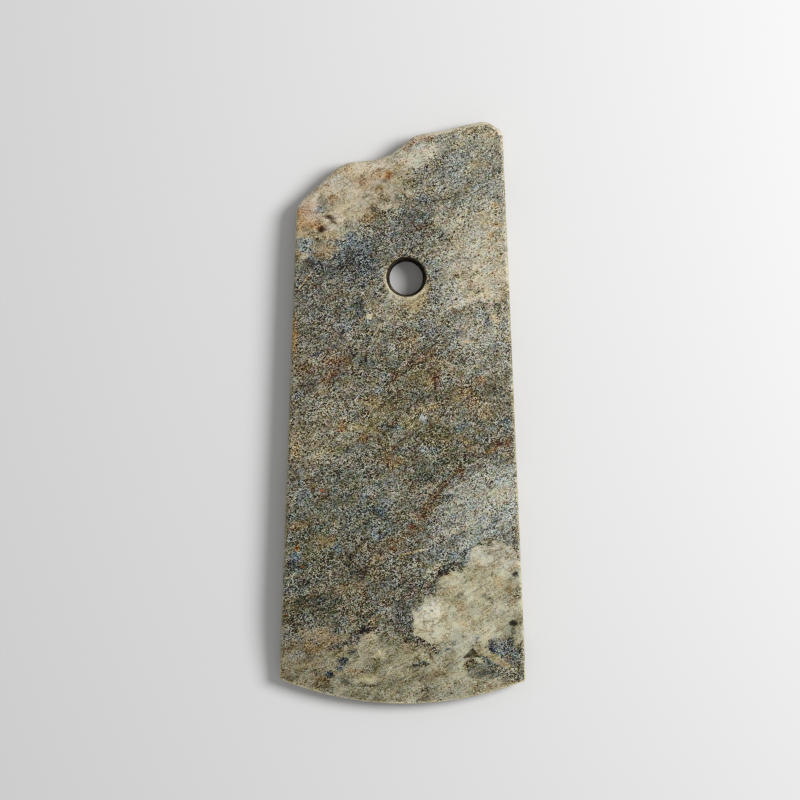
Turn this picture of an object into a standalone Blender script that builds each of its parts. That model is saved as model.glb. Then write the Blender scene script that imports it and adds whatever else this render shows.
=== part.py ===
"""A jade axe blade: one stone, ground flat on both faces and sharpened along a bowed edge.

It is drilled once, from the front, for its lashing, and its butt is broken off unevenly.
Metres, +Z up. The blade lies on its back face with its front face up. +Y runs from the
cutting edge to the butt, and the origin is on the table under the middle of its box.
"""

import math

import bmesh
import bpy
from mathutils import Vector

# Plan of the blade.
LENGTH = 0.180
EDGE_WIDTH = 0.0763
BUTT_WIDTH = 0.0627
BUTT_SHIFT = -0.0005
EDGE_BOW = 0.00745
EDGE_SKEW = 0.0006
LEFT_EDGE_CORNER_RADIUS = 0.0012
RIGHT_EDGE_CORNER_RADIUS = 0.0004

# Section of the blade.
THICKNESS = 0.0085
EDGE_THICKNESS = 0.0008
BEVEL_LENGTH = 0.026
SIDE_FALL = 0.0007
SIDE_FALL_WIDTH = 0.014
FRONT_BUTT_FALL = 0.0012
FRONT_BUTT_FALL_LENGTH = 0.060
BACK_BUTT_FALL = 0.0008
BACK_BUTT_FALL_LENGTH = 0.026
SIDE_BULGE = 0.00015

# Radii to which wear has rounded the arrises, and the most of the half thickness that one takes.
SIDE_ARRIS = 0.0010
BREAK_FRONT_ARRIS = 0.0018
BREAK_BACK_ARRIS = 0.0026
ARRIS_SHARE = 0.8

# The hole, wider where the drill went in at the front, with its two rims worn.
HOLE_DROP = 0.0482
HOLE_OFFSET = 0.0015
HOLE_FRONT_RADIUS = 0.0061
HOLE_BACK_RADIUS = 0.0051
HOLE_RIM = 0.0004

# Corners of the broken butt from left to right: the share of the width, the drop below the
# crest, and the radius to which wear has rounded the corner.
BREAK_CORNERS = (
    (0.000, 0.0256, 0.0058),
    (0.222, 0.0125, 0.0110),
    (0.418, 0.0116, 0.0150),
    (0.567, 0.0042, 0.0070),
    (0.715, 0.0026, 0.0300),
    (0.919, -0.0005, 0.0055),
    (1.000, 0.0030, 0.0021),
)

# Worn flake scars beside the break: the share of the width, the drop below the crest, the
# radius and the depth.
FRONT_SCARS = (
    (0.05, 0.0190, 0.0200, 0.0009),
    (0.42, 0.0100, 0.0130, 0.0008),
)
BACK_SCARS = (
    (0.70, 0.0010, 0.0150, 0.0010),
    (0.20, 0.0140, 0.0110, 0.0007),
)

# Weathered grey-green jade, still smooth but no longer glossy.
STONE_COLOUR = (0.216, 0.197, 0.139, 1.0)
STONE_ROUGHNESS = 0.45

# Fineness of the faceted solid.
FACET = 0.0032
ARRIS_STEPS = 2
HOLE_SIDES = 40
DRILL_OVERRUN = 0.002

CREST_Y = LENGTH / 2
MID_Z = THICKNESS / 2
EDGE_RADIUS = ((EDGE_WIDTH / 2) ** 2 + EDGE_BOW**2) / (2 * EDGE_BOW)
EDGE_CENTRE = Vector((EDGE_SKEW, EDGE_RADIUS - LENGTH / 2))


def on_cutting_edge(x):
    """Plan point of the cutting edge's arc at x."""
    return Vector((x, EDGE_CENTRE.y - math.sqrt(EDGE_RADIUS**2 - (x - EDGE_CENTRE.x) ** 2)))


EDGE_LEFT = on_cutting_edge(-EDGE_WIDTH / 2)
EDGE_RIGHT = on_cutting_edge(EDGE_WIDTH / 2)
BUTT_LEFT = Vector((BUTT_SHIFT - BUTT_WIDTH / 2, CREST_Y))
BUTT_RIGHT = Vector((BUTT_SHIFT + BUTT_WIDTH / 2, CREST_Y))


def place_on_blade(share, drop):
    """Plan point at a share of the width from the left side, dropped below the crest."""
    left = BUTT_LEFT.lerp(EDGE_LEFT, drop / (BUTT_LEFT.y - EDGE_LEFT.y))
    right = BUTT_RIGHT.lerp(EDGE_RIGHT, drop / (BUTT_RIGHT.y - EDGE_RIGHT.y))
    return left.lerp(right, share)


HOLE_CENTRE = place_on_blade(0.5, HOLE_DROP) + Vector((HOLE_OFFSET, 0.0))
LEFT_SHOULDER = place_on_blade(*BREAK_CORNERS[0][:2])
RIGHT_SHOULDER = place_on_blade(*BREAK_CORNERS[-1][:2])


def rounded_corner(before, corner, after, radius):
    """Points of the arc that rounds a corner between its two neighbours."""
    back = (before - corner).normalized()
    ahead = (after - corner).normalized()
    turn = math.pi - back.angle(ahead)
    reach = radius * math.tan(turn / 2)
    centre = corner + (back + ahead).normalized() * math.hypot(radius, reach)
    start = corner + back * reach - centre
    end = corner + ahead * reach - centre
    count = max(2, math.ceil(radius * turn / FACET))
    return [centre + radius * start.slerp(end, i / count) for i in range(count + 1)]


def straight_run(start, end, count):
    """Points that split a straight line into count steps, without its ends."""
    return [start.lerp(end, i / count) for i in range(1, count)]


def butt_line():
    """The broken butt from left to right, its corners rounded."""
    corners = [place_on_blade(share, drop) for share, drop, _ in BREAK_CORNERS]
    neighbours = zip([EDGE_LEFT, *corners], corners, [*corners[1:], EDGE_RIGHT])
    line = []
    for (before, corner, after), (_, _, radius) in zip(neighbours, BREAK_CORNERS):
        arc = rounded_corner(before, corner, after, radius)
        if line:
            count = max(1, round((arc[0] - line[-1]).length / FACET))
            line += straight_run(line[-1], arc[0], count)
        line += arc
    return line


def cutting_line(count):
    """The cutting edge from right to left, as count points, its two corners rounded."""
    inset = EDGE_WIDTH / count
    near_left = on_cutting_edge(EDGE_LEFT.x + inset)
    near_right = on_cutting_edge(EDGE_RIGHT.x - inset)
    left = rounded_corner(near_left, EDGE_LEFT, LEFT_SHOULDER, LEFT_EDGE_CORNER_RADIUS)
    right = rounded_corner(RIGHT_SHOULDER, EDGE_RIGHT, near_right, RIGHT_EDGE_CORNER_RADIUS)
    steps = count - len(left) - len(right) + 1
    width = left[0].x - right[-1].x
    bow = [on_cutting_edge(right[-1].x + width * i / steps) for i in range(1, steps)]
    return right + bow + left


def inward_normals(ring):
    """Unit normals that point into a clockwise ring."""
    normals = []
    for i, point in enumerate(ring):
        before = (point - ring[i - 1]).normalized()
        after = (ring[(i + 1) % len(ring)] - point).normalized()
        along = (before + after).normalized()
        normals.append(Vector((along.y, -along.x)))
    return normals


def fade(distance, reach):
    """1 at no distance, easing to 0 at reach and beyond."""
    return max(0.0, 1.0 - max(0.0, distance) / reach) ** 2


def distance_from_line(point, start, end):
    """Distance of a plan point from the line through two others."""
    return abs((end - start).normalized().cross(point - start))


def scar_depth(point, scars):
    """How deep the flake scars are at a plan point."""
    depth = 0.0
    for share, drop, radius, deepest in scars:
        distance = (point - place_on_blade(share, drop)).length
        depth += deepest * max(0.0, 1.0 - (distance / radius) ** 2) ** 2
    return depth


def half_section(point, butt_fall, butt_fall_length, scars):
    """Distance of a face from the middle of the thickness at a plan point."""
    to_side = min(
        distance_from_line(point, EDGE_LEFT, BUTT_LEFT),
        distance_from_line(point, EDGE_RIGHT, BUTT_RIGHT),
    )
    to_edge = EDGE_RADIUS - (point - EDGE_CENTRE).length
    body = THICKNESS / 2 - SIDE_FALL * fade(to_side, SIDE_FALL_WIDTH)
    body -= butt_fall * fade(CREST_Y - point.y, butt_fall_length)
    body -= scar_depth(point, scars)
    return body - (body - EDGE_THICKNESS / 2) * fade(to_edge, BEVEL_LENGTH)


def front_z(point):
    """Height of the front face."""
    return MID_Z + half_section(point, FRONT_BUTT_FALL, FRONT_BUTT_FALL_LENGTH, FRONT_SCARS)


def back_z(point):
    """Height of the back face, which lies flat on the table over most of its area."""
    return MID_Z - half_section(point, BACK_BUTT_FALL, BACK_BUTT_FALL_LENGTH, BACK_SCARS)


def break_share(point):
    """0 on the ground sides and the cutting edge, 1 on the broken butt, blended between."""
    across = (point.x - LEFT_SHOULDER.x) / (RIGHT_SHOULDER.x - LEFT_SHOULDER.x)
    shoulder = LEFT_SHOULDER.lerp(RIGHT_SHOULDER, across)
    return min(1.0, max(0.0, 1.0 + (point.y - shoulder.y) / BREAK_FRONT_ARRIS))


def arris_column(point, normal, face_z, break_arris):
    """Points of a worn arris under an outline point, from the face's border to the rim."""
    radius = SIDE_ARRIS + (break_arris - SIDE_ARRIS) * break_share(point)
    radius = min(radius, ARRIS_SHARE * abs(face_z(point) - MID_Z))
    bulge = min(SIDE_BULGE, radius / 2)
    border_z = face_z(point + normal * (bulge + radius))
    towards_middle = math.copysign(radius, MID_Z - border_z)
    column = []
    for step in range(ARRIS_STEPS + 1):
        angle = math.pi / 2 * step / ARRIS_STEPS
        plan = point + normal * (bulge + radius * (1.0 - math.sin(angle)))
        column.append(Vector((*plan, border_z + towards_middle * (1.0 - math.cos(angle)))))
    return column


def rim_column(point, normal):
    """Points down the blade's rim, from the front face's border to the back face's."""
    front = arris_column(point, normal, front_z, BREAK_FRONT_ARRIS)
    back = arris_column(point, normal, back_z, BREAK_BACK_ARRIS)
    return [*front, Vector((*point, MID_Z)), *reversed(back)]


def edges_along(mesh, vertices):
    """The edges that join each vertex to the next."""
    return [mesh.edges.get(pair) for pair in zip(vertices, vertices[1:])]


def fill_face(mesh, ring, butt_count, face_z):
    """A grid of faces over a closed border ring, set to the height of a face.

    The ring starts with the butt, and its second half starts with the cutting edge.
    """
    half = len(ring) // 2
    butt = edges_along(mesh, ring[:butt_count])
    cutting = edges_along(mesh, ring[half : half + butt_count])
    before = set(mesh.verts)
    bmesh.ops.grid_fill(mesh, edges=butt + cutting, use_interp_simple=True)
    for vertex in set(mesh.verts) - before:
        vertex.co.z = face_z(vertex.co.xy)


def blade_mesh():
    """The undrilled blade: its rim, and the two faces inside the rim's borders."""
    butt = butt_line()
    cutting = cutting_line(len(butt))
    side_steps = round((butt[-1] - cutting[0]).length / FACET)
    right = straight_run(butt[-1], cutting[0], side_steps)
    left = straight_run(cutting[-1], butt[0], side_steps)
    ring = butt + right + cutting + left
    mesh = bmesh.new()
    columns = [rim_column(*pair) for pair in zip(ring, inward_normals(ring))]
    rings = [[mesh.verts.new(point) for point in points] for points in zip(*columns)]
    for upper, lower in zip(rings, rings[1:]):
        for i in range(len(ring)):
            mesh.faces.new((upper[i - 1], upper[i], lower[i], lower[i - 1]))
    fill_face(mesh, rings[0], len(butt), front_z)
    fill_face(mesh, rings[-1], len(butt), back_z)
    bmesh.ops.recalc_face_normals(mesh, faces=mesh.faces)
    return mesh


def drill_mesh():
    """The shape that the drill took out: a cone, flared at both rims, longer than the hole."""
    front = front_z(HOLE_CENTRE)
    back = back_z(HOLE_CENTRE)
    flare = HOLE_RIM + DRILL_OVERRUN
    profile = (
        (0.0, back - DRILL_OVERRUN),
        (HOLE_BACK_RADIUS + flare, back - DRILL_OVERRUN),
        (HOLE_BACK_RADIUS, back + HOLE_RIM),
        (HOLE_FRONT_RADIUS, front - HOLE_RIM),
        (HOLE_FRONT_RADIUS + flare, front + DRILL_OVERRUN),
        (0.0, front + DRILL_OVERRUN),
    )
    mesh = bmesh.new()
    points = [mesh.verts.new((radius, 0.0, height)) for radius, height in profile]
    line = [mesh.edges.new(pair) for pair in zip(points, points[1:])]
    bmesh.ops.spin(
        mesh,
        geom=points + line,
        cent=(0.0, 0.0, 0.0),
        axis=(0.0, 0.0, 1.0),
        angle=2 * math.pi,
        steps=HOLE_SIDES,
        use_merge=True,
    )
    bmesh.ops.remove_doubles(mesh, verts=mesh.verts, dist=1e-6)
    bmesh.ops.recalc_face_normals(mesh, faces=mesh.faces)
    return mesh


def add_object(name, mesh):
    """An object of the finished mesh, linked into the scene."""
    data = bpy.data.meshes.new(name)
    mesh.to_mesh(data)
    mesh.free()
    made = bpy.data.objects.new(name, data)
    bpy.context.scene.collection.objects.link(made)
    return made


def weathered_jade():
    """The stone's material."""
    material = bpy.data.materials.new("weathered_jade")
    material.use_nodes = True
    shader = material.node_tree.nodes["Principled BSDF"]
    shader.inputs["Base Color"].default_value = STONE_COLOUR
    shader.inputs["Roughness"].default_value = STONE_ROUGHNESS
    shader.inputs["Metallic"].default_value = 0.0
    return material


def build_drill():
    """The cutter for the hole, standing on the hole's axis."""
    drill = add_object("drill", drill_mesh())
    drill.location = (*HOLE_CENTRE, 0.0)
    drill.hide_render = True
    drill.display_type = "WIRE"
    return drill


def build_axe_blade(drill):
    """The blade, with its hole cut by the drill."""
    blade = add_object("axe_blade", blade_mesh())
    blade.data.materials.append(weathered_jade())
    blade.data.shade_smooth()
    blade.data.set_sharp_from_angle(angle=math.radians(40))
    hole = blade.modifiers.new("hole", "BOOLEAN")
    hole.operation = "DIFFERENCE"
    hole.object = drill
    return blade


for old in list(bpy.data.objects):
    bpy.data.objects.remove(old)
build_axe_blade(build_drill())
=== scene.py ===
"""The looks of a jade axe blade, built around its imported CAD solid.

The blade is one ground and drilled stone with a broken butt. This script replaces the faceted
solid with a finely meshed stone of the same form, wears and pits it with Geometry Nodes,
colours it with one procedural finish, and sets up a plain studio with the camera overhead.
Sizes of the form are metres. Places of colour on the stone are millimetres, in the frame's axes.
"""

from __future__ import annotations

import logging
import math
from dataclasses import dataclass, field
from enum import Enum

import bmesh
import bpy
import numpy as np
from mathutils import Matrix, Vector, kdtree, noise


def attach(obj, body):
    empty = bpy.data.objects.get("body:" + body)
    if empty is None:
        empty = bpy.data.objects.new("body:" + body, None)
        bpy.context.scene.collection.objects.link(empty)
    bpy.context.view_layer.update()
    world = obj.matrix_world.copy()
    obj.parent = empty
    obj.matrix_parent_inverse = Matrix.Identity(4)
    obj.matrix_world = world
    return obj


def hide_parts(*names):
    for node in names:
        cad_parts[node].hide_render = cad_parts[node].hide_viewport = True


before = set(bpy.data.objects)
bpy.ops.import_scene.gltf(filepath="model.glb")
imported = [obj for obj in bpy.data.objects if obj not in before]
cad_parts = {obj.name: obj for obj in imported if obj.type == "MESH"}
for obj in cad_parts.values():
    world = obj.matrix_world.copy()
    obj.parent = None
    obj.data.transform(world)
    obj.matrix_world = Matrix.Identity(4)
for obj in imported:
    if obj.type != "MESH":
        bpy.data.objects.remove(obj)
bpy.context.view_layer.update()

LOG = logging.getLogger("jade_axe")
MM = 0.001
NOISE_MIDDLE = 0.5
ARC_POINTS = 25

# Each picks one of the three random numbers of a cell.
FIRST = (1.0, 0.0, 0.0)
SECOND = (0.0, 1.0, 0.0)

Colour = tuple[int, int, int]
Socket = bpy.types.NodeSocket
Value = float | tuple | bpy.types.NodeSocket


# Small helpers for plan points, which are arrays whose last axis is x and y.


def blend(start: np.ndarray, end: np.ndarray, share: np.ndarray | float) -> np.ndarray:
    """The value a share of the way from start to end."""
    return start + (end - start) * share


def length_of(vectors: np.ndarray) -> np.ndarray:
    """Length of each plan vector."""
    return np.linalg.norm(vectors, axis=-1)


def unit(vectors: np.ndarray) -> np.ndarray:
    """Each plan vector at a length of one."""
    return vectors / length_of(vectors)[..., None]


def fade(distance: np.ndarray, reach: float) -> np.ndarray:
    """1 at no distance, easing to 0 at reach and beyond."""
    return np.maximum(0.0, 1.0 - np.maximum(0.0, distance) / reach) ** 2


def resample(line: np.ndarray, count: int) -> np.ndarray:
    """Splits a line of plan points into equal steps.

    Args:
        line: Points along the line.
        count: Number of steps.

    Returns:
        count + 1 points, equally spaced along the line.
    """
    reached = np.concatenate([[0.0], np.cumsum(length_of(np.diff(line, axis=0)))])
    wanted = np.linspace(0.0, reached[-1], count + 1)
    return np.stack([np.interp(wanted, reached, line[:, axis]) for axis in (0, 1)], axis=-1)


def smooth_ring(values: np.ndarray, spread: float) -> np.ndarray:
    """Smooths values round a closed ring.

    Args:
        values: One row of numbers for each point of the ring.
        spread: Standard deviation of the smoothing, in points.

    Returns:
        The smoothed values.
    """
    reach = math.ceil(3 * spread)
    weights = np.exp(-0.5 * (np.arange(-reach, reach + 1) / spread) ** 2)
    shifted = (np.roll(values, step, axis=0) * weight
               for step, weight in zip(range(-reach, reach + 1), weights))
    return sum(shifted) / weights.sum()


def corner_arc(
    before: np.ndarray, corner: np.ndarray, after: np.ndarray, radius: float
) -> np.ndarray:
    """Rounds a corner between its two neighbours.

    Args:
        before: Plan point that the line comes from.
        corner: Plan point of the sharp corner.
        after: Plan point that the line goes to.
        radius: Radius of the rounded corner.

    Returns:
        Points of the arc, from the side of before to the side of after.
    """
    back, ahead = unit(before - corner), unit(after - corner)
    turn = math.pi - math.acos(float(back @ ahead))
    reach = radius * math.tan(turn / 2)
    centre = corner + unit(back + ahead) * math.hypot(radius, reach)
    start, end = corner + back * reach - centre, corner + ahead * reach - centre
    share = np.linspace(0.0, 1.0, ARC_POINTS)[:, None]
    return centre + (start * np.sin((1 - share) * turn) + end * np.sin(share * turn)) / math.sin(turn)


@dataclass(frozen=True)
class BladePlan:
    """Plan of the blade: two ground sides, a bowed cutting edge and a broken butt."""

    length: float = 0.180
    edge_width: float = 0.0763
    butt_width: float = 0.0627
    butt_shift: float = -0.0005
    edge_bow: float = 0.00745
    edge_skew: float = 0.0006
    left_edge_corner: float = 0.0012
    right_edge_corner: float = 0.0004
    edge_corner_reach: float = 0.002
    edge_points: int = 200
    # Share of the width from the left, drop below the crest, radius of the worn corner.
    break_corners: tuple[tuple[float, float, float], ...] = (
        (0.000, 0.0256, 0.0058),
        (0.222, 0.0125, 0.0110),
        (0.418, 0.0116, 0.0150),
        (0.567, 0.0042, 0.0070),
        (0.715, 0.0026, 0.0300),
        (0.919, -0.0005, 0.0055),
        (1.000, 0.0030, 0.0021),
    )

    @property
    def crest_y(self) -> float:
        """Height in plan of the butt's crest."""
        return self.length / 2

    @property
    def edge_radius(self) -> float:
        """Radius of the cutting edge's bow."""
        return ((self.edge_width / 2) ** 2 + self.edge_bow**2) / (2 * self.edge_bow)

    @property
    def edge_centre(self) -> np.ndarray:
        """Centre of the cutting edge's bow."""
        return np.array([self.edge_skew, self.edge_radius - self.length / 2])

    def on_edge(self, x: np.ndarray | float) -> np.ndarray:
        """Finds plan points of the cutting edge's arc.

        Args:
            x: Where they lie across the blade.

        Returns:
            The plan points.
        """
        centre_x, centre_y = self.edge_centre
        drop = np.sqrt(self.edge_radius**2 - (np.asarray(x) - centre_x) ** 2)
        return np.stack([np.asarray(x, dtype=float), centre_y - drop], axis=-1)

    @property
    def edge_left(self) -> np.ndarray:
        """Left end of the cutting edge."""
        return self.on_edge(-self.edge_width / 2)

    @property
    def edge_right(self) -> np.ndarray:
        """Right end of the cutting edge."""
        return self.on_edge(self.edge_width / 2)

    @property
    def butt_left(self) -> np.ndarray:
        """Where the left side would reach the crest."""
        return np.array([self.butt_shift - self.butt_width / 2, self.crest_y])

    @property
    def butt_right(self) -> np.ndarray:
        """Where the right side would reach the crest."""
        return np.array([self.butt_shift + self.butt_width / 2, self.crest_y])

    def place(self, share: float, drop: float) -> np.ndarray:
        """Finds a place on the blade.

        Args:
            share: Share of the width from the left side.
            drop: Distance below the crest.

        Returns:
            The plan point.
        """
        ends = []
        for top, bottom in ((self.butt_left, self.edge_left), (self.butt_right, self.edge_right)):
            ends.append(blend(top, bottom, drop / (top[1] - bottom[1])))
        return blend(ends[0], ends[1], share)

    @property
    def shoulders(self) -> tuple[np.ndarray, np.ndarray]:
        """Left and right end of the break."""
        first, last = self.break_corners[0], self.break_corners[-1]
        return self.place(*first[:2]), self.place(*last[:2])

    def butt_line(self) -> np.ndarray:
        """Draws the broken butt.

        Returns:
            Plan points from left to right, with the corners rounded.
        """
        corners = [self.place(share, drop) for share, drop, _ in self.break_corners]
        around = zip([self.edge_left, *corners], corners, [*corners[1:], self.edge_right])
        arcs = [corner_arc(*trio, row[2]) for trio, row in zip(around, self.break_corners)]
        return np.concatenate(arcs)

    def cutting_line(self) -> np.ndarray:
        """Draws the cutting edge.

        Returns:
            Plan points from right to left, with the two corners rounded.
        """
        left_shoulder, right_shoulder = self.shoulders
        near_left = self.on_edge(self.edge_left[0] + self.edge_corner_reach)
        near_right = self.on_edge(self.edge_right[0] - self.edge_corner_reach)
        right = corner_arc(right_shoulder, self.edge_right, near_right, self.right_edge_corner)
        left = corner_arc(near_left, self.edge_left, left_shoulder, self.left_edge_corner)
        bow = self.on_edge(np.linspace(near_right[0], near_left[0], self.edge_points))
        return np.concatenate([right, bow, left])

    def ring(self, columns: int, rows: int) -> np.ndarray:
        """Samples the whole outline.

        Args:
            columns: Steps along the butt, and along the cutting edge.
            rows: Steps along each side.

        Returns:
            The outline clockwise: the butt, the right side, the cutting edge, the left side.
        """
        butt = resample(self.butt_line(), columns)
        cutting = resample(self.cutting_line(), columns)
        right = resample(np.stack([butt[-1], cutting[0]]), rows)[1:-1]
        left = resample(np.stack([cutting[-1], butt[0]]), rows)[1:-1]
        return np.concatenate([butt, right, cutting, left])

    def break_share(self, points: np.ndarray, blend_length: float) -> np.ndarray:
        """Tells the broken butt from the ground sides.

        Args:
            points: Plan points on the outline.
            blend_length: Distance over which the one passes into the other.

        Returns:
            0 on the ground sides and the cutting edge, 1 on the break.
        """
        left, right = self.shoulders
        across = (points[..., 0] - left[0]) / (right[0] - left[0])
        shoulder_y = blend(left[1], right[1], across)
        return np.clip(1.0 + (points[..., 1] - shoulder_y) / blend_length, 0.0, 1.0)


class Face(Enum):
    """The two ground faces of the blade."""

    FRONT = 1
    BACK = -1


@dataclass(frozen=True)
class FaceRelief:
    """How one face falls away towards the broken butt, and the flake scars on it."""

    butt_fall: float
    butt_fall_length: float
    break_arris: float
    # Share of the width, drop below the crest, radius and depth of each flake scar.
    scars: tuple[tuple[float, float, float, float], ...]


@dataclass(frozen=True)
class BladeSection:
    """Section of the blade: its thickness, its bevel and its worn arrises."""

    plan: BladePlan
    thickness: float = 0.0085
    edge_thickness: float = 0.0008
    bevel_length: float = 0.026
    side_fall: float = 0.0007
    side_fall_width: float = 0.014
    side_bulge: float = 0.00015
    side_arris: float = 0.0010
    arris_share: float = 0.8
    arris_smoothing: float = 2.0
    reliefs: dict[Face, FaceRelief] = field(
        default_factory=lambda: {
            Face.FRONT: FaceRelief(0.0012, 0.060, 0.0018, (
                (0.05, 0.0190, 0.0200, 0.0009),
                (0.42, 0.0100, 0.0130, 0.0008),
                (0.159, 0.0301, 0.0021, 0.00050),
                (0.118, 0.0338, 0.0018, 0.00045),
                (0.101, 0.0387, 0.0034, 0.00030),
                (0.125, 0.0261, 0.0042, 0.00035),
                (0.351, 0.0200, 0.0060, 0.00030),
                (0.970, 0.1398, 0.0013, 0.00025),
            )),
            Face.BACK: FaceRelief(
                0.0008, 0.026, 0.0026, ((0.70, 0.0010, 0.0150, 0.0010), (0.20, 0.0140, 0.0110, 0.0007))
            ),
        }
    )

    @property
    def mid_z(self) -> float:
        """Height of the middle of the thickness."""
        return self.thickness / 2

    def to_side(self, points: np.ndarray) -> np.ndarray:
        """Measures the way to the nearer ground side.

        Args:
            points: Plan points.

        Returns:
            The distance of each point from that side.
        """
        distances = []
        for start, end in (
            (self.plan.edge_left, self.plan.butt_left),
            (self.plan.edge_right, self.plan.butt_right),
        ):
            along = unit(end - start)
            offset = points - start
            distances.append(np.abs(along[0] * offset[..., 1] - along[1] * offset[..., 0]))
        return np.minimum(*distances)

    def scar_depth(self, points: np.ndarray, relief: FaceRelief) -> np.ndarray:
        """Adds up a face's flake scars.

        Args:
            points: Plan points.
            relief: The face's scars.

        Returns:
            Depth of the scars at each point.
        """
        depth = np.zeros(points.shape[:-1])
        for share, drop, radius, deepest in relief.scars:
            distance = length_of(points - self.plan.place(share, drop))
            depth += deepest * np.maximum(0.0, 1.0 - (distance / radius) ** 2) ** 2
        return depth

    def face_z(self, points: np.ndarray, face: Face) -> np.ndarray:
        """Height of a face.

        Args:
            points: Plan points.
            face: The face.

        Returns:
            Height of the face at each point.
        """
        relief = self.reliefs[face]
        half = self.thickness / 2 - self.side_fall * fade(self.to_side(points), self.side_fall_width)
        half -= relief.butt_fall * fade(self.plan.crest_y - points[..., 1], relief.butt_fall_length)
        half -= self.scar_depth(points, relief)
        to_edge = self.plan.edge_radius - length_of(points - self.plan.edge_centre)
        half -= (half - self.edge_thickness / 2) * fade(to_edge, self.bevel_length)
        return self.mid_z + face.value * half

    def arris(self, outline: np.ndarray, inward: np.ndarray, face: Face, steps: int) -> np.ndarray:
        """Rounds a face into the rim.

        Args:
            outline: Plan points of the outline.
            inward: Unit vectors that point into the blade at those points.
            face: The face.
            steps: Steps round the arris.

        Returns:
            steps + 1 rings of points with their heights, from the face to the rim.
        """
        share = self.plan.break_share(outline, self.reliefs[Face.FRONT].break_arris)
        radius = blend(self.side_arris, self.reliefs[face].break_arris, share)
        depth = np.abs(self.face_z(outline, face) - self.mid_z)
        radius = np.minimum(radius, self.arris_share * depth)
        radius = smooth_ring(radius[:, None], self.arris_smoothing)[:, 0]
        bulge = np.minimum(self.side_bulge, radius / 2)
        border_z = self.face_z(outline + inward * (bulge + radius)[:, None], face)
        rings = []
        for angle in np.linspace(0.0, math.pi / 2, steps + 1):
            plan = outline + inward * (bulge + radius * (1.0 - math.sin(angle)))[:, None]
            z = border_z - face.value * radius * (1.0 - math.cos(angle))
            rings.append(np.column_stack([plan, z]))
        return np.array(rings)


@dataclass(frozen=True)
class LashingHole:
    """The drilled hole, wider where the drill went in at the front, its rims worn unevenly."""

    plan: BladePlan
    drop: float = 0.0482
    offset: float = 0.0015
    front_radius: float = 0.0061
    back_radius: float = 0.0051
    rim: float = 0.0005
    # Height as a share of the rim, count round the hole and shift of each wave of the rim's wear.
    rim_waves: tuple[tuple[float, int, float], ...] = ((0.35, 2, 0.7), (0.25, 5, 2.0))
    rim_steps: int = 5
    wall_steps: int = 10

    @property
    def centre(self) -> np.ndarray:
        """Plan point of the hole's axis."""
        return self.plan.place(0.5, self.drop) + np.array([self.offset, 0.0])

    def rings(self, bearings: np.ndarray, front: np.ndarray, back: np.ndarray) -> np.ndarray:
        """Shapes the hole from the front face to the back face.

        Args:
            bearings: Unit vectors from the axis, one for each column of the wall.
            front: Height of the front face round the hole.
            back: Height of the back face round the hole.

        Returns:
            Rings of points with their heights, from the front face down to the back face.
        """
        turn = np.arctan2(bearings[:, 1], bearings[:, 0])
        wear = np.ones_like(turn)
        for height, count, shift in self.rim_waves:
            wear += height * np.sin(count * turn + shift)
        wear *= self.rim
        angles = np.linspace(0.0, math.pi / 2, self.rim_steps + 1)
        profile = [(self.front_radius + wear * (1 - math.sin(a)), front - wear * (1 - math.cos(a)))
                   for a in angles]
        for share in np.linspace(0.0, 1.0, self.wall_steps + 1)[1:-1]:
            profile.append((
                blend(self.front_radius, self.back_radius, share) * np.ones_like(wear),
                blend(front - wear, back + wear, share),
            ))
        profile += [(self.back_radius + wear * (1 - math.sin(a)), back + wear * (1 - math.cos(a)))
                    for a in angles[::-1]]
        return np.array([np.column_stack([self.centre + bearings * r[:, None], z])
                         for r, z in profile])


@dataclass
class QuadMesh:
    """Collects points and the quads between them."""

    points: list[np.ndarray] = field(default_factory=list)
    quads: list[np.ndarray] = field(default_factory=list)
    count: int = 0

    def add(self, points: np.ndarray) -> np.ndarray:
        """Adds points.

        Args:
            points: An array whose last axis is x, y and z.

        Returns:
            The numbers of the new points, in the shape of the array.
        """
        shape = points.shape[:-1]
        size = int(np.prod(shape))
        self.points.append(points.reshape(-1, 3))
        self.count += size
        return np.arange(self.count - size, self.count).reshape(shape)

    def weave(self, grid: np.ndarray, closed: bool = False, skip: np.ndarray | None = None) -> None:
        """Fills a grid of point numbers with quads.

        Args:
            grid: Rows of point numbers.
            closed: Whether each row's end joins its start.
            skip: Cells to leave open, as True.
        """
        if closed:
            grid = np.concatenate([grid, grid[:, :1]], axis=1)
        cells = np.stack([grid[:-1, :-1], grid[:-1, 1:], grid[1:, 1:], grid[1:, :-1]], axis=-1)
        self.quads.append(cells[~skip] if skip is not None else cells.reshape(-1, 4))

    def mesh(self, name: str) -> bpy.types.Mesh:
        """Makes the mesh, its faces pointing outwards.

        Args:
            name: Name of the mesh.

        Returns:
            The mesh.
        """
        made = bpy.data.meshes.new(name)
        made.from_pydata(np.concatenate(self.points).tolist(), [], np.concatenate(self.quads).tolist())
        turned = bmesh.new()
        turned.from_mesh(made)
        bmesh.ops.recalc_face_normals(turned, faces=turned.faces)
        turned.to_mesh(made)
        turned.free()
        made.shade_smooth()
        return made


@dataclass(frozen=True)
class Cloud:
    """A cloudy noise: the breadth of a cloud, how many finer ones lie over it, and how strongly."""

    size: float
    detail: float = 2.0
    roughness: float = 0.5

    def scaled(self, factor: float) -> Cloud:
        """The same clouds at another size."""
        return Cloud(self.size * factor, self.detail, self.roughness)


@dataclass(frozen=True)
class Ramp:
    """A change from low to high while a value goes from start to end, held at both ends."""

    start: float
    end: float
    low: float = 0.0
    high: float = 1.0
    smooth: bool = True


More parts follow.
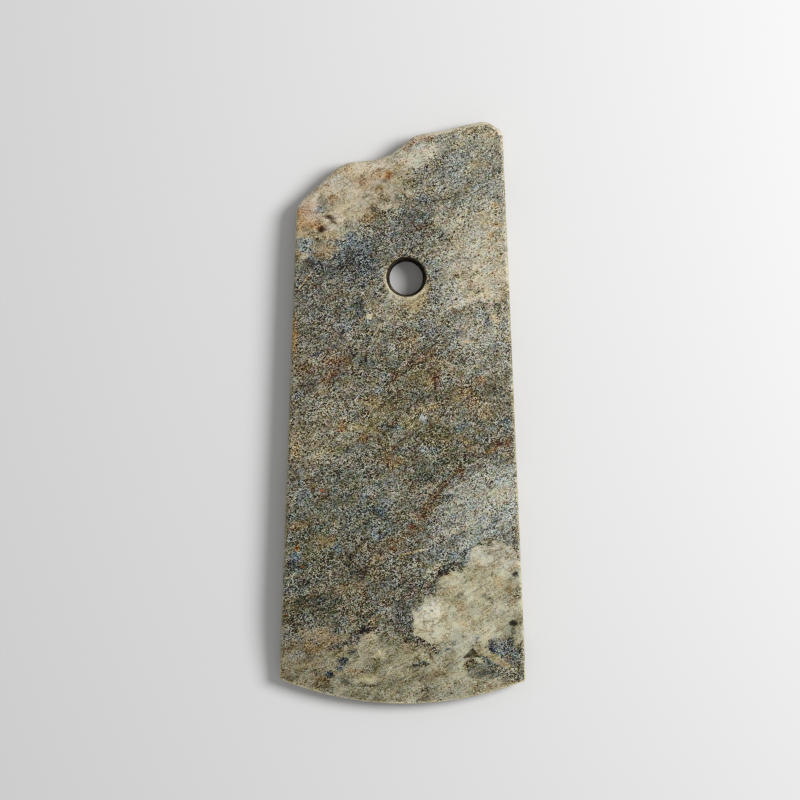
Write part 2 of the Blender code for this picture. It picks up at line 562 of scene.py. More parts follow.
@dataclass
class NodeBench:
    """Adds the nodes of one tree and links them."""

    tree: bpy.types.NodeTree

    def add(
        self, kind: str, inputs: dict[str | int, Value] | None = None, **settings: str,
    ) -> bpy.types.Node:
        """Adds a node.

        Args:
            kind: Type of the node.
            inputs: Values or sockets for the node's inputs, by name or number.
            settings: Properties of the node.

        Returns:
            The node.
        """
        node = self.tree.nodes.new(kind)
        for name, value in settings.items():
            setattr(node, name, value)
        for name, value in (inputs or {}).items():
            if isinstance(value, Socket):
                self.tree.links.new(value, node.inputs[name])
            else:
                node.inputs[name].default_value = value
        return node

    def math(self, operation: str, *values: Value) -> Socket:
        """Adds a sum of numbers and gives its result."""
        return self.add("ShaderNodeMath", dict(enumerate(values)), operation=operation).outputs[0]

    def vector(self, operation: str, *values: Value, **named: Value) -> Socket:
        """Adds a sum of vectors and gives its result."""
        node = self.add("ShaderNodeVectorMath", dict(enumerate(values)) | named, operation=operation)
        return node.outputs["Value" if operation in ("LENGTH", "DOT_PRODUCT") else "Vector"]

    def attribute(self, name: str) -> bpy.types.NodeOutputs:
        """Reads an attribute of the mesh."""
        return self.add("ShaderNodeAttribute", attribute_name=name).outputs

    def noise(self, place: Socket, cloud: Cloud, kind: str = "Fac") -> Socket:
        """Adds a cloudy noise.

        Args:
            place: Coordinates, in the same unit as the size of the clouds.
            cloud: The clouds.
            kind: "Fac" for a number or "Color" for three.

        Returns:
            The noise, about 0.5 at its middle.
        """
        inputs = {"Vector": place, "Scale": 1.0 / cloud.size, "Detail": cloud.detail,
                  "Roughness": cloud.roughness}
        return self.add("ShaderNodeTexNoise", inputs).outputs[kind]

    def wave(self, place: Socket, cloud: Cloud) -> Socket:
        """Adds a cloudy noise that is about 0 at its middle."""
        return self.math("SUBTRACT", self.noise(place, cloud), NOISE_MIDDLE)

    def cells(self, place: Socket, scale: Value) -> bpy.types.NodeOutputs:
        """Splits space into cells, a given number of them to one unit of length."""
        return self.add("ShaderNodeTexVoronoi", {"Vector": place, "Scale": scale}).outputs

    def ramp(self, value: Socket, ramp: Ramp) -> Socket:
        """Maps a value along a ramp.

        Args:
            value: The value.
            ramp: The ramp.

        Returns:
            The ramp's number for the value.
        """
        inputs = {"Value": value, "From Min": ramp.start, "From Max": ramp.end,
                  "To Min": ramp.low, "To Max": ramp.high}
        kind = "SMOOTHSTEP" if ramp.smooth else "LINEAR"
        return self.add("ShaderNodeMapRange", inputs, interpolation_type=kind).outputs["Result"]

    def mix(self, share: Value, first: Value, second: Value) -> Socket:
        """Mixes two colours."""
        return self.add("ShaderNodeMix", {0: share, 6: first, 7: second}, data_type="RGBA").outputs[2]


def screen(colour: Colour) -> tuple[float, float, float, float]:
    """Turns a colour of a screen from 0 to 255 into one from 0 to 1, for a shader."""
    red, green, blue = (value / 255 for value in colour)
    return red, green, blue, 1.0


@dataclass(frozen=True)
class Patch:
    """A place on the stone with a colour of its own: an ellipse with a soft, straying border.

    Its middle and half sizes are millimetres, its turn is degrees from +X towards +Y, and its
    colour is that of a screen. Calm is how far it stills the speckle of the stone.
    """

    name: str
    x: float
    y: float
    half_length: float
    half_width: float
    turn: float
    colour: Colour
    strength: float
    softness: float = 0.5
    calm: float = 0.0


def patches(*rows: tuple[str | float | Colour, ...]) -> tuple[Patch, ...]:
    """Makes patches from rows of their fields, in the order of Patch."""
    return tuple(Patch(*row) for row in rows)


@dataclass(frozen=True)
class Splinter:
    """A flat inclusion with straight sides. Its corners are millimetres, anticlockwise."""

    name: str
    corners: tuple[tuple[float, float], ...]
    colour: Colour
    strength: float
    calm: float


@dataclass(frozen=True)
class Wisp:
    """Thin lines of one colour, where clouds pass through their middle."""

    cloud: Cloud
    width: float
    strength: float
    colour: Colour


@dataclass(frozen=True)
class FacePaint:
    """The patches of one face: zones of speckled stone, cream regions, and stains on both."""

    zones: tuple[Patch, ...]
    creams: tuple[Patch, ...]
    spots: tuple[Patch, ...]


@dataclass(frozen=True)
class StonePainter:
    """Paints the attributes speckled, cream and cream_share onto a stone's mesh.

    The first two are the colours that a place has in speckled and in cream stone, each with a
    fourth number that says how far its grain is calmed. The third is the share of cream stone.
    Lengths are millimetres. A border strays by a share of its patch's lesser half size, and no
    further than a fixed length.
    """

    front: FacePaint
    back: FacePaint
    speckled: Colour = (113, 109, 93)
    cream: Colour = (165, 158, 132)
    cream_calm: float = 0.6
    broad_size: float = 9.0
    broad_stray: float = 3.0
    broad_share: float = 0.5
    fine_size: float = 2.2
    fine_stray: float = 1.6
    fine_share: float = 0.6
    ripple: float = 0.2
    seed: int = 5
    front_from: float = 1.5
    front_to: float = 6.0

    def clouds(self, places: np.ndarray, size: float) -> np.ndarray:
        """A cloudy vector for each place, about 0 at its middle, with clouds of a given size."""
        return np.array([noise.noise_vector(Vector(place) / size) for place in places])

    def cover(self, patch: Patch, places: np.ndarray, broad: np.ndarray, fine: np.ndarray) -> np.ndarray:
        """Finds how far a patch covers each place.

        Args:
            patch: The patch.
            places: Places on the stone.
            broad: A broadly cloudy vector for each place.
            fine: A finely cloudy vector for each place.

        Returns:
            0 to the strength of the patch, as a column.
        """
        least = min(patch.half_length, patch.half_width)
        strayed = places + broad * min(self.broad_stray, self.broad_share * least)
        strayed = strayed + fine * min(self.fine_stray, self.fine_share * least)
        offset = strayed[:, :2] - (patch.x, patch.y)
        turn = math.radians(patch.turn)
        along = offset[:, 0] * math.cos(turn) + offset[:, 1] * math.sin(turn)
        across = offset[:, 1] * math.cos(turn) - offset[:, 0] * math.sin(turn)
        reach = np.hypot(along / patch.half_length, across / patch.half_width) + self.ripple * fine[:, 2]
        share = np.clip((1 + patch.softness - reach) / (2 * patch.softness), 0.0, 1.0)
        return (patch.strength * share * share * (3 - 2 * share))[:, None]

    def face_colours(self, face: FacePaint, places: np.ndarray, broad: np.ndarray,
                     fine: np.ndarray) -> np.ndarray:
        """Lays one face's patches over each other.

        Args:
            face: The patches.
            places: Places on the stone.
            broad: A broadly cloudy vector for each place.
            fine: A finely cloudy vector for each place.

        Returns:
            Nine numbers for each place: speckled, cream and cream_share.
        """
        speckled = np.tile(np.array(screen(self.speckled)[:3] + (0.0,)), (len(places), 1))
        cream = np.tile(np.array(screen(self.cream)[:3] + (self.cream_calm,)), (len(places), 1))
        share = np.zeros((len(places), 1))
        for patch in face.zones + face.creams + face.spots:
            cover = self.cover(patch, places, broad, fine)
            wanted = np.array(screen(patch.colour)[:3] + (patch.calm,))
            if patch not in face.creams:
                speckled = blend(speckled, wanted, cover)
            if patch not in face.zones:
                cream = blend(cream, wanted, cover)
            if patch in face.creams:
                share = np.maximum(share, cover)
        return np.concatenate([speckled, cream, share], axis=1)

    def paint(self, mesh: bpy.types.Mesh) -> None:
        """Paints a mesh.

        Args:
            mesh: The mesh, whose places are metres.
        """
        flat = np.empty(len(mesh.vertices) * 3)
        mesh.vertices.foreach_get("co", flat)
        places = flat.reshape(-1, 3) / MM
        noise.seed_set(self.seed)
        broad, fine = self.clouds(places, self.broad_size), self.clouds(places, self.fine_size)
        front = self.face_colours(self.front, places, broad, fine)
        back = self.face_colours(self.back, places, broad, fine)
        height = np.clip((places[:, 2:] - self.front_from) / (self.front_to - self.front_from), 0.0, 1.0)
        painted = blend(back, front, height)
        for name, values in (("speckled", painted[:, :4]), ("cream", painted[:, 4:8])):
            mesh.attributes.new(name, "FLOAT_COLOR", "POINT").data.foreach_set("color", values.ravel())
        mesh.attributes.new("cream_share", "FLOAT", "POINT").data.foreach_set("value", painted[:, 8])


@dataclass(frozen=True)
class Weathering:
    """Wear of the stone's surface, cut inwards from its form. Sizes are metres."""

    swell_height: float = 0.00008
    swell_size: float = 0.016
    swell_detail: float = 1.0
    fracture_height: float = 0.00018
    fracture_size: float = 0.0032
    fracture_detail: float = 3.0
    fracture_ramp: Ramp = Ramp(0.25, 0.75)
    pit_depth: float = 0.00014
    pit_size: float = 0.0055
    pit_stray: float = 0.0015
    pit_stray_cloud: Cloud = Cloud(0.002)
    pit_chosen: Ramp = Ramp(0.45, 0.9)
    pit_bowl: Ramp = Ramp(0.24, 0.0)
    seed: float = 7.0

    def inputs(self) -> dict[str, float]:
        """The named inputs of the tree, with their values."""
        return {
            "Swell Height": self.swell_height, "Swell Size": self.swell_size,
            "Fracture Height": self.fracture_height, "Fracture Size": self.fracture_size,
            "Pit Depth": self.pit_depth, "Pit Size": self.pit_size, "Seed": self.seed,
        }

    def tree(self) -> bpy.types.NodeTree:
        """Builds the Geometry Nodes tree that wears a mesh.

        Returns:
            The tree, with a named input for each size.
        """
        tree = bpy.data.node_groups.new("stone_weathering", "GeometryNodeTree")
        sockets = {"Geometry": "NodeSocketGeometry", "Finish": "NodeSocketMaterial"}
        sockets |= dict.fromkeys(self.inputs(), "NodeSocketFloat")
        for name, kind in sockets.items():
            tree.interface.new_socket(name=name, in_out="INPUT", socket_type=kind)
        tree.interface.new_socket(name="Geometry", in_out="OUTPUT", socket_type="NodeSocketGeometry")
        bench = NodeBench(tree)
        given = bench.add("NodeGroupInput").outputs
        place = bench.add("GeometryNodeInputPosition").outputs[0]
        fracture = bench.add("GeometryNodeInputNamedAttribute", {"Name": "fracture"},
                             data_type="FLOAT").outputs["Attribute"]

        def cloud(size: Socket, detail: float) -> Socket:
            """Adds a noise that follows the seed.

            Args:
                size: Breadth of one cloud.
                detail: Number of finer clouds laid over it.

            Returns:
                The noise, about 0.5 at its middle.
            """
            scale = bench.math("DIVIDE", 1.0, size)
            inputs = {"Vector": place, "W": given["Seed"], "Scale": scale, "Detail": detail}
            return bench.add("ShaderNodeTexNoise", inputs, noise_dimensions="4D").outputs["Fac"]

        swell = bench.math("MULTIPLY", cloud(given["Swell Size"], self.swell_detail), given["Swell Height"])
        rough = bench.ramp(cloud(given["Fracture Size"], self.fracture_detail), self.fracture_ramp)
        rough = bench.math("MULTIPLY", rough, given["Fracture Height"])
        rough = bench.math("MULTIPLY", rough, fracture)
        stray = bench.noise(place, self.pit_stray_cloud, "Color")
        strayed = bench.vector("ADD", place, bench.vector("SCALE", stray, Scale=self.pit_stray))
        cells = bench.cells(strayed, bench.math("DIVIDE", 1.0, given["Pit Size"]))
        chosen = bench.ramp(bench.vector("DOT_PRODUCT", cells["Color"], FIRST), self.pit_chosen)
        bowl = bench.ramp(cells["Distance"], self.pit_bowl)
        pit = bench.math("MULTIPLY", bench.math("MULTIPLY", chosen, bowl), given["Pit Depth"])
        depth = bench.math("ADD", bench.math("ADD", swell, rough), pit)
        normal = bench.add("GeometryNodeInputNormal").outputs[0]
        inward = bench.vector("SCALE", normal, Scale=bench.math("MULTIPLY", depth, -1.0))
        worn = bench.add("GeometryNodeSetPosition", {"Geometry": given["Geometry"], "Offset": inward})
        real = bench.add("GeometryNodeRealizeInstances", {"Geometry": worn.outputs[0]})
        dressed = bench.add("GeometryNodeSetMaterial",
                            {"Geometry": real.outputs[0], "Material": given["Finish"]})
        bench.add("NodeGroupOutput", {"Geometry": dressed.outputs[0]})
        return tree

    def apply(self, blade: bpy.types.Object, finish: bpy.types.Material) -> None:
        """Wears a blade's mesh and leaves it a plain mesh.

        Args:
            blade: The object, whose mesh has the fracture attribute.
            finish: The material of the worn mesh.
        """
        tree = self.tree()
        modifier = blade.modifiers.new("weathering", "NODES")
        modifier.node_group = tree
        values = self.inputs() | {"Finish": finish}
        for item in tree.interface.items_tree:
            if item.in_out == "INPUT" and item.name in values:
                modifier[item.identifier] = values[item.name]
        bpy.context.view_layer.update()
        worn = blade.evaluated_get(bpy.context.evaluated_depsgraph_get())
        mesh = bpy.data.meshes.new_from_object(worn)
        blade.modifiers.remove(modifier)
        blade.data = mesh
        mesh.name = blade.name
        mesh.shade_smooth()


@dataclass
class Coat:
    """A finish in the making: its nodes, its coordinates, and the stone's colour and calm.

    Calm is how far the grain is stilled, 0 to 1, and on_front is 1 on the front face.
    """

    bench: NodeBench
    place: Socket
    on_front: Socket
    colour: Socket
    calm: Socket

    def lay(self, share: Socket, colour: Colour) -> None:
        """Lays a colour of a screen over the stone, as far as a share says."""
        self.colour = self.bench.mix(share, self.colour, screen(colour))

    def still(self, share: Socket) -> None:
        """Stills the grain at least as far as a share says."""
        self.calm = self.bench.math("MAXIMUM", self.calm, share)

    def by_calm(self, grainy: float, stilled: float) -> Socket:
        """A number that goes from one value in grainy stone to another in stilled stone."""
        return self.bench.ramp(self.calm, Ramp(0.0, 1.0, grainy, stilled, smooth=False))


@dataclass(frozen=True)
class JadeFinish:
    """Weathered grey-green jade: speckled stone with smooth cream regions and rusty veins.

    Lengths are millimetres. Only the relief's height, and ramps on the margin, which is the
    distance from the outline, are metres. Colours are those of a screen, and so are the steps of
    light and warmth, 0 to 1, until the last method turns them into amounts of light.
    """

    marks: tuple[Patch, ...]
    splinters: tuple[Splinter, ...]
    wisps: tuple[Wisp, ...]
    hole: LashingHole
    front_height: Ramp = Ramp(2.0, 6.0)

    # The ragged border of the cream stone, and straying borders.
    ragged: Cloud = Cloud(2.6, 5.0, 0.65)
    ragged_reach: float = 1.3
    cream_border: Ramp = Ramp(0.35, 0.65)
    stray_broad: Cloud = Cloud(5.0)
    stray_broad_push: float = 2.0
    stray_fine: Cloud = Cloud(1.3, 3.0, 0.7)
    stray_fine_push: float = 1.6
    mark_stray: float = 0.5
    mark_depth: float = 1e4
    splinter_stray: float = 0.25
    splinter_softness: float = 0.2
    far_inside: float = -1e3
    wisp_shift: tuple[float, float, float] = (1.0, 3.0, 1.0)

    # The worn outline, whose pale band along the break is also a painted highlight, and the pale line along
    # the cutting edge.
    side_wear: Ramp = Ramp(1.0 * MM, 0.2 * MM, 0.0, 0.65)
    worn_lit_break_reach: Ramp = Ramp(1.9 * MM, 0.6 * MM, 0.0, 0.9)
    break_border: Ramp = Ramp(0.1, 0.5)
    edge_pale: Colour = (188, 180, 148)
    worn_lit_break: Colour = (212, 202, 178)
    edge_line_height: Ramp = Ramp(-76.5, -78.5)
    edge_line_width: Ramp = Ramp(0.55 * MM, 0.25 * MM, 0.0, 0.75)
    edge_line_pale: Colour = (214, 206, 172)

    # The hole. Its rim gets a painted highlight, strongest towards the cutting edge, and its wall a dark
    # brown painted shade, lightest on that side.
    highlight_side: tuple[float, float, float] = (-0.3, -0.95, 0.0)
    rim_rough: Cloud = Cloud(1.2, 3.0, 0.6)
    rim_stray: float = 0.5
    rim_outer: float = 1.5
    rim_inner: float = 0.3
    rim_highlight_share: Ramp = Ramp(-0.3, 0.7, 0.1, 0.8)
    rim_highlight: Colour = (206, 196, 166)
    wall_softness: float = 0.15
    wall_shade: Ramp = Ramp(0.2, 0.9, 0.94, 0.72)
    bore_shade: Colour = (34, 29, 14)

    # Light and dark: grains, larger crystals, dark dots, pale threads, streaks and mottling.
    darkest: float = 0.08
    palest: float = 0.82
    least_share: float = 0.04
    spread: float = 1.13
    light_tint: tuple[float, float, float] = (0.975, 1.005, 1.02)
    bedding_turn: float = 32.0
    bedding_stretch: float = 1.4
    crystal_stray: float = 0.35
    grain_size: float = 0.30
    grain: float = 3.3
    crystal_size: float = 0.85
    crystals: float = 0.35
    thread_cloud: Cloud = Cloud(1.5, 2.0, 0.6)
    thread_width: float = 0.05
    threads: float = 0.4
    thread_shade: float = 0.35
    dots: float = 2.2
    dot_chosen: Ramp = Ramp(0.3, 0.8)
    dot_reach: tuple[float, float] = (0.5, 0.12)
    dot_halo: float = 0.15
    patchy_cloud: Cloud = Cloud(3.4)
    patchy: Ramp = Ramp(0.3, 0.7, 0.65, 1.3)
    calm_grain: float = 0.20
    mottle_cloud: Cloud = Cloud(3.6, 3.0, 0.9)
    mottle: float = 2.2
    calm_mottle: float = 1.0
    streak_cloud: Cloud = Cloud(0.9, 1.0)
    streak_stretch: float = 0.2
    streaks: float = 1.5
    calm_cloud: Cloud = Cloud(5.5, 4.0, 0.6)
    clouds: float = 4.4

    # Warm and olive tints.
    warmth_cloud: Cloud = Cloud(2.8, 4.0, 0.95)
    warmth_shift: tuple[float, float, float] = (31.0, 17.0, 5.0)
    warmth: float = 0.56
    calm_warmth: float = 0.5
    grain_warmth: float = 0.02
    streak_warmth: float = 0.06
    warm_tint: tuple[float, float, float] = (0.2, -0.22, -0.8)
    olive_cloud: Cloud = Cloud(2.0, 3.0, 0.8)
    olive: float = 0.12
    calm_olive: float = 0.5
    olive_tint: tuple[float, float, float] = (-0.5, 1.0, -0.5)

    # Gloss and fine relief, and how much light the stone gives back.
    gamma: float = 2.2
    gain: float = 1.05
    sky_shine: float = 0.017
    least_light: float = 0.002
    gloss_cloud: Cloud = Cloud(5.0, 3.0, 0.6)
    polish: Ramp = Ramp(0.3, 0.7, 0.36, 0.52)
    specular: float = 0.28
    relief_cloud: Cloud = Cloud(0.6, 3.0, 0.6)
    relief: float = 0.35
    relief_height: float = 0.06 * MM

    def material(self) -> bpy.types.Material:
        """Builds the stone's material.

        Returns:
            The material.
        """
        made = bpy.data.materials.new("jade_with_weathering")
        made.use_nodes = True
        bench = NodeBench(made.node_tree)
        stone = bench.add("ShaderNodeTexCoord").outputs["Object"]
        place = bench.vector("SCALE", stone, Scale=1.0 / MM)
        height = bench.add("ShaderNodeSeparateXYZ", {0: place}).outputs["Z"]
        coat = self.painted(bench, place, bench.ramp(height, self.front_height))
        self.draw_marks(coat)
        self.draw_splinters(coat)
        self.pale_outline(coat)
        unpolished = self.paint_hole_light(coat)
        self.draw_wisps(coat)
        self.speckle(coat)
        self.finish(coat, unpolished, made.node_tree.nodes["Principled BSDF"])
        return made

    def painted(self, bench: NodeBench, place: Socket, on_front: Socket) -> Coat:
        """Reads the painted colours, and cuts a ragged border between speckled and cream stone.

        Args:
            bench: The material's nodes.
            place: Coordinates on the stone.
            on_front: 1 on the front face and 0 on the back.

        Returns:
            The coat with its first colour and calm.
        """
        speckled, cream = bench.attribute("speckled"), bench.attribute("cream")
        share = bench.attribute("cream_share")["Fac"]
        ragged = bench.wave(place, self.ragged)
        share = bench.ramp(bench.math("MULTIPLY_ADD", ragged, self.ragged_reach, share), self.cream_border)
        calmer = bench.math("SUBTRACT", cream["Alpha"], speckled["Alpha"])
        colour = bench.mix(share, speckled["Color"], cream["Color"])
        calm = bench.math("MULTIPLY_ADD", calmer, share, speckled["Alpha"])
        return Coat(bench, place, on_front, colour, calm)

    def strayed(self, bench: NodeBench, place: Socket, reach: float) -> Socket:
        """Makes coordinates that let borders of colour stray.

        Args:
            bench: The material's nodes.
            place: Coordinates on the stone.
            reach: How far a border strays.

        Returns:
            The strayed coordinates.
        """
        middle = (NOISE_MIDDLE,) * 3
        broad = bench.noise(place, self.stray_broad.scaled(reach), "Color")
        broad = bench.vector("SUBTRACT", broad, middle)
        fine = bench.noise(place, self.stray_fine.scaled(reach), "Color")
        fine = bench.vector("SUBTRACT", fine, middle)
        broad_push = bench.vector("SCALE", broad, Scale=self.stray_broad_push * reach)
        moved = bench.vector("ADD", place, broad_push)
        return bench.vector("ADD", moved, bench.vector("SCALE", fine, Scale=self.stray_fine_push * reach))

    def draw_marks(self, coat: Coat) -> None:
        """Draws the small crisp marks of the front face.

        Args:
            coat: The coat so far.
        """
        bench = coat.bench
        strayed = self.strayed(bench, coat.place, self.mark_stray)
        drawn, stilled = coat.colour, coat.calm
        for patch in self.marks:
            within = bench.add("ShaderNodeMapping", {
                "Vector": strayed,
                "Location": (patch.x, patch.y, 0.0),
                "Rotation": (0.0, 0.0, math.radians(patch.turn)),
                "Scale": (patch.half_length, patch.half_width, self.mark_depth),
            }, vector_type="TEXTURE")
            reach = bench.vector("LENGTH", within.outputs[0])
            border = Ramp(1 + patch.softness, 1 - patch.softness, 0.0, patch.strength)
            cover = bench.ramp(reach, border)
            drawn = bench.mix(cover, drawn, screen(patch.colour))
            stilled = bench.math("MAXIMUM", stilled, bench.math("MULTIPLY", cover, patch.calm))
        behind = bench.math("SUBTRACT", 1.0, coat.on_front)
        kept = bench.math("MULTIPLY", behind, coat.calm)
        coat.colour = bench.mix(coat.on_front, coat.colour, drawn)
        coat.calm = bench.math("MULTIPLY_ADD", stilled, coat.on_front, kept)

    def draw_splinters(self, coat: Coat) -> None:
        """Draws the straight-sided inclusions of the front face.

        Args:
            coat: The coat so far.
        """
        bench = coat.bench
        strayed = self.strayed(bench, coat.place, self.splinter_stray)
        for splinter in self.splinters:
            outside: Value = self.far_inside
            following = splinter.corners[1:] + splinter.corners[:1]
            for (x, y), (next_x, next_y) in zip(splinter.corners, following):
                length = math.hypot(next_x - x, next_y - y)
                away = ((next_y - y) / length, (x - next_x) / length, 0.0)
                reach = bench.vector("DOT_PRODUCT", strayed, away)
                beyond = bench.math("SUBTRACT", reach, away[0] * x + away[1] * y)
                outside = bench.math("MAXIMUM", beyond, outside)
            border = Ramp(self.splinter_softness, -self.splinter_softness, 0.0, splinter.strength)
            cover = bench.math("MULTIPLY", bench.ramp(outside, border), coat.on_front)
            coat.lay(cover, splinter.colour)
            coat.still(bench.math("MULTIPLY", cover, splinter.calm))

    def pale_outline(self, coat: Coat) -> None:
        """Pales the stone along its outline, where wear has taken the speckle off, and paints a highlight
        along the break; also pales a thin line along the cutting edge.

        Args:
            coat: The coat so far.
        """
        bench = coat.bench
        margin, broken = bench.attribute("margin")["Fac"], bench.attribute("fracture")["Fac"]
        beside_side = bench.ramp(margin, self.side_wear)
        beside_break = bench.ramp(margin, self.worn_lit_break_reach)
        on_break = bench.ramp(broken, self.break_border)
        # Along the break the pale band is worn stone and painted highlight together.
        pale = bench.mix(on_break, screen(self.edge_pale), screen(self.worn_lit_break))
        fall = bench.math("SUBTRACT", beside_break, beside_side)
        share = bench.math("MULTIPLY_ADD", fall, on_break, beside_side)
        coat.colour = bench.mix(share, coat.colour, pale)
        # A thin pale line along the cutting edge.
        height = bench.add("ShaderNodeSeparateXYZ", {0: coat.place}).outputs["Y"]
        at_edge = bench.ramp(height, self.edge_line_height)
        edge_line = bench.math("MULTIPLY", at_edge, bench.ramp(margin, self.edge_line_width))
        coat.lay(edge_line, self.edge_line_pale)
        coat.still(bench.math("MAXIMUM", share, edge_line))

    def paint_hole_light(self, coat: Coat) -> Socket:
        """Paints shade on the hole's wall and a highlight on its rim.

        Args:
            coat: The coat so far.

        Returns:
            1 on the hole's wall, which has no polish, and 0 elsewhere.
        """
        bench = coat.bench
        x, y = self.hole.centre / MM
        offset = bench.vector("SUBTRACT", coat.place, (x, y, 0.0))
        offset = bench.vector("MULTIPLY", offset, (1.0, 1.0, 0.0))
        reach = bench.vector("LENGTH", offset)
        lower = bench.vector("DOT_PRODUCT", bench.vector("NORMALIZE", offset), self.highlight_side)
        radius = self.hole.front_radius / MM
        rough = bench.wave(coat.place, self.rim_rough)
        reach = bench.math("MULTIPLY_ADD", rough, self.rim_stray, reach)
        # Painted highlight: the rim is paled, most on the side towards the cutting edge.
        rim = bench.ramp(reach, Ramp(radius + self.rim_outer, radius + self.rim_inner))
        rim = bench.math("MULTIPLY", rim, bench.ramp(lower, self.rim_highlight_share))
        coat.lay(rim, self.rim_highlight)
        # Painted shade: the hole's wall is darkened, least on the side towards the cutting edge.
        wall = bench.ramp(reach, Ramp(radius + self.wall_softness, radius - self.wall_softness))
        wall_shade_share = bench.math("MULTIPLY", wall, bench.ramp(lower, self.wall_shade))
        coat.lay(wall_shade_share, self.bore_shade)
        coat.still(bench.math("MAXIMUM", rim, wall_shade_share))
        return wall

    def draw_wisps(self, coat: Coat) -> None:
        """Draws brown wisps and thin dark cracks through the calm stone.

        Args:
            coat: The coat so far.
        """
        bench = coat.bench
        for wisp in self.wisps:
            shift = tuple(wisp.cloud.size * part for part in self.wisp_shift)
            ridge = bench.wave(bench.vector("ADD", coat.place, shift), wisp.cloud)
            line = Ramp(wisp.width, 0.0, 0.0, wisp.strength)
            share = bench.ramp(bench.math("ABSOLUTE", ridge), line)
            coat.lay(bench.math("MULTIPLY", share, coat.calm), wisp.colour)

    def speckle(self, coat: Coat) -> None:
        """Adds the stone's mottling and grain: light and dark crystals, each warm or cool.

        Args:
            coat: The coat so far.
        """
        bench = coat.bench
        bedding = bench.add("ShaderNodeMapping", {
            "Vector": coat.place, "Rotation": (0.0, 0.0, math.radians(self.bedding_turn)),
            "Scale": (self.bedding_stretch, 1.0, 1.0)}, vector_type="TEXTURE").outputs[0]
        strayed = self.strayed(bench, bedding, self.crystal_stray)
        fine = bench.cells(coat.place, 1.0 / self.grain_size)
        coarse = bench.cells(strayed, 1.0 / self.crystal_size)
        grain = self.grained(coat, bedding, fine, coarse)
        mottle = bench.wave(bedding, self.mottle_cloud)
        mottle = bench.math("MULTIPLY", mottle, coat.by_calm(self.mottle, self.mottle * self.calm_mottle))
        drawn_out = bench.vector("MULTIPLY", bedding, (self.streak_stretch, 1.0, 1.0))
        streak = bench.math("MULTIPLY", bench.wave(drawn_out, self.streak_cloud), self.streaks)
        light = bench.math("ADD", bench.math("ADD", mottle, grain), streak)
        cloud = bench.wave(coat.place, self.calm_cloud)
        light = bench.math("MULTIPLY_ADD", cloud, bench.math("MULTIPLY", coat.calm, self.clouds), light)
        step = self.step_of_light(coat, light)
        tint = self.tint(coat, bedding, fine, streak)
        coat.colour = bench.vector("ADD", bench.vector("ADD", coat.colour, step), tint)

    def grained(self, coat: Coat, bedding: Socket, fine: bpy.types.NodeOutputs,
                coarse: bpy.types.NodeOutputs) -> Socket:
        """Lays fine grains, larger crystals, pale threads and dark dots together.

        Args:
            coat: The coat so far.
            bedding: Coordinates along the stone's bedding.
            fine: Cells of the fine grains.
            coarse: Cells of the larger crystals.

        Returns:
            Steps of light, about 0, weaker where the stone is calm.
        """
        bench = coat.bench
        grain = bench.vector("DOT_PRODUCT", fine["Color"], (self.grain, 0.0, 0.0))
        crystal = bench.vector("DOT_PRODUCT", coarse["Color"], (self.crystals, 0.0, 0.0))
        grain = bench.math("ADD", grain, crystal)
        ridge = bench.math("ABSOLUTE", bench.wave(bedding, self.thread_cloud))
        thread = Ramp(self.thread_width, 0.0, -self.thread_shade * self.threads, self.threads)
        grain = bench.math("ADD", grain, bench.ramp(ridge, thread))
        chosen = bench.ramp(bench.vector("DOT_PRODUCT", coarse["Color"], SECOND), self.dot_chosen)
        dark = bench.ramp(coarse["Distance"], Ramp(*self.dot_reach, self.dot_halo * self.dots, -self.dots))
        grain = bench.math("ADD", grain, bench.math("MULTIPLY", chosen, dark))
        grain = bench.math("SUBTRACT", grain, NOISE_MIDDLE * (self.grain + self.crystals))
        patchy = bench.ramp(bench.noise(coat.place, self.patchy_cloud), self.patchy)
        grain = bench.math("MULTIPLY", grain, patchy)
        return bench.math("MULTIPLY", grain, coat.by_calm(1.0, self.calm_grain))

    def step_of_light(self, coat: Coat, light: Socket) -> Socket:
        """Moves the stone's light on an S-curve between the darkest and the palest grain.

        So a pale stone gets dark specks, and a dark one gets pale specks.

        Args:
            coat: The coat so far.
            light: Steps of light along the curve, about 0.

        Returns:
            What the colour gains.
        """
        bench = coat.bench
        tone = bench.vector("DOT_PRODUCT", coat.colour, (1 / 3, 1 / 3, 1 / 3))
        share = bench.ramp(tone, Ramp(self.darkest, self.palest, smooth=False))
        share = bench.math("MAXIMUM", share, self.least_share)
        share = bench.math("MINIMUM", share, 1.0 - self.least_share)
        odds = bench.math("DIVIDE", share, bench.math("SUBTRACT", 1.0, share))
        odds = bench.math("MULTIPLY_ADD", bench.math("LOGARITHM", odds, math.e), self.spread, light)
        fall = bench.math("POWER", math.e, bench.math("MULTIPLY", odds, -1.0))
        moved = bench.math("SUBTRACT", bench.math("DIVIDE", 1.0, bench.math("ADD", fall, 1.0)), share)
        reach = self.palest - self.darkest
        return bench.vector("SCALE", tuple(part * reach for part in self.light_tint), Scale=moved)

    def tint(self, coat: Coat, bedding: Socket, fine: bpy.types.NodeOutputs, streak: Socket) -> Socket:
        """Tints the stone warm and cool, and a little olive.

        Args:
            coat: The coat so far.
            bedding: Coordinates along the stone's bedding.
            fine: Cells of the fine grains.
            streak: The streaks' steps of light.

        Returns:
            What the colour gains.
        """
        bench = coat.bench
        warm = bench.wave(bench.vector("ADD", bedding, self.warmth_shift), self.warmth_cloud)
        warm = bench.math("MULTIPLY", warm, coat.by_calm(self.warmth, self.warmth * self.calm_warmth))
        flecks = bench.vector("DOT_PRODUCT", fine["Color"], (0.0, self.grain_warmth, 0.0))
        flecks = bench.math("SUBTRACT", flecks, NOISE_MIDDLE * self.grain_warmth)
        warm = bench.math("ADD", warm, flecks)
        warm = bench.math("MULTIPLY_ADD", streak, self.streak_warmth, warm)
        warm = bench.vector("SCALE", self.warm_tint, Scale=warm)
        green = bench.wave(coat.place, self.olive_cloud)
        green = bench.math("MULTIPLY", green, coat.by_calm(self.olive, self.olive * self.calm_olive))
        return bench.vector("ADD", warm, bench.vector("SCALE", self.olive_tint, Scale=green))

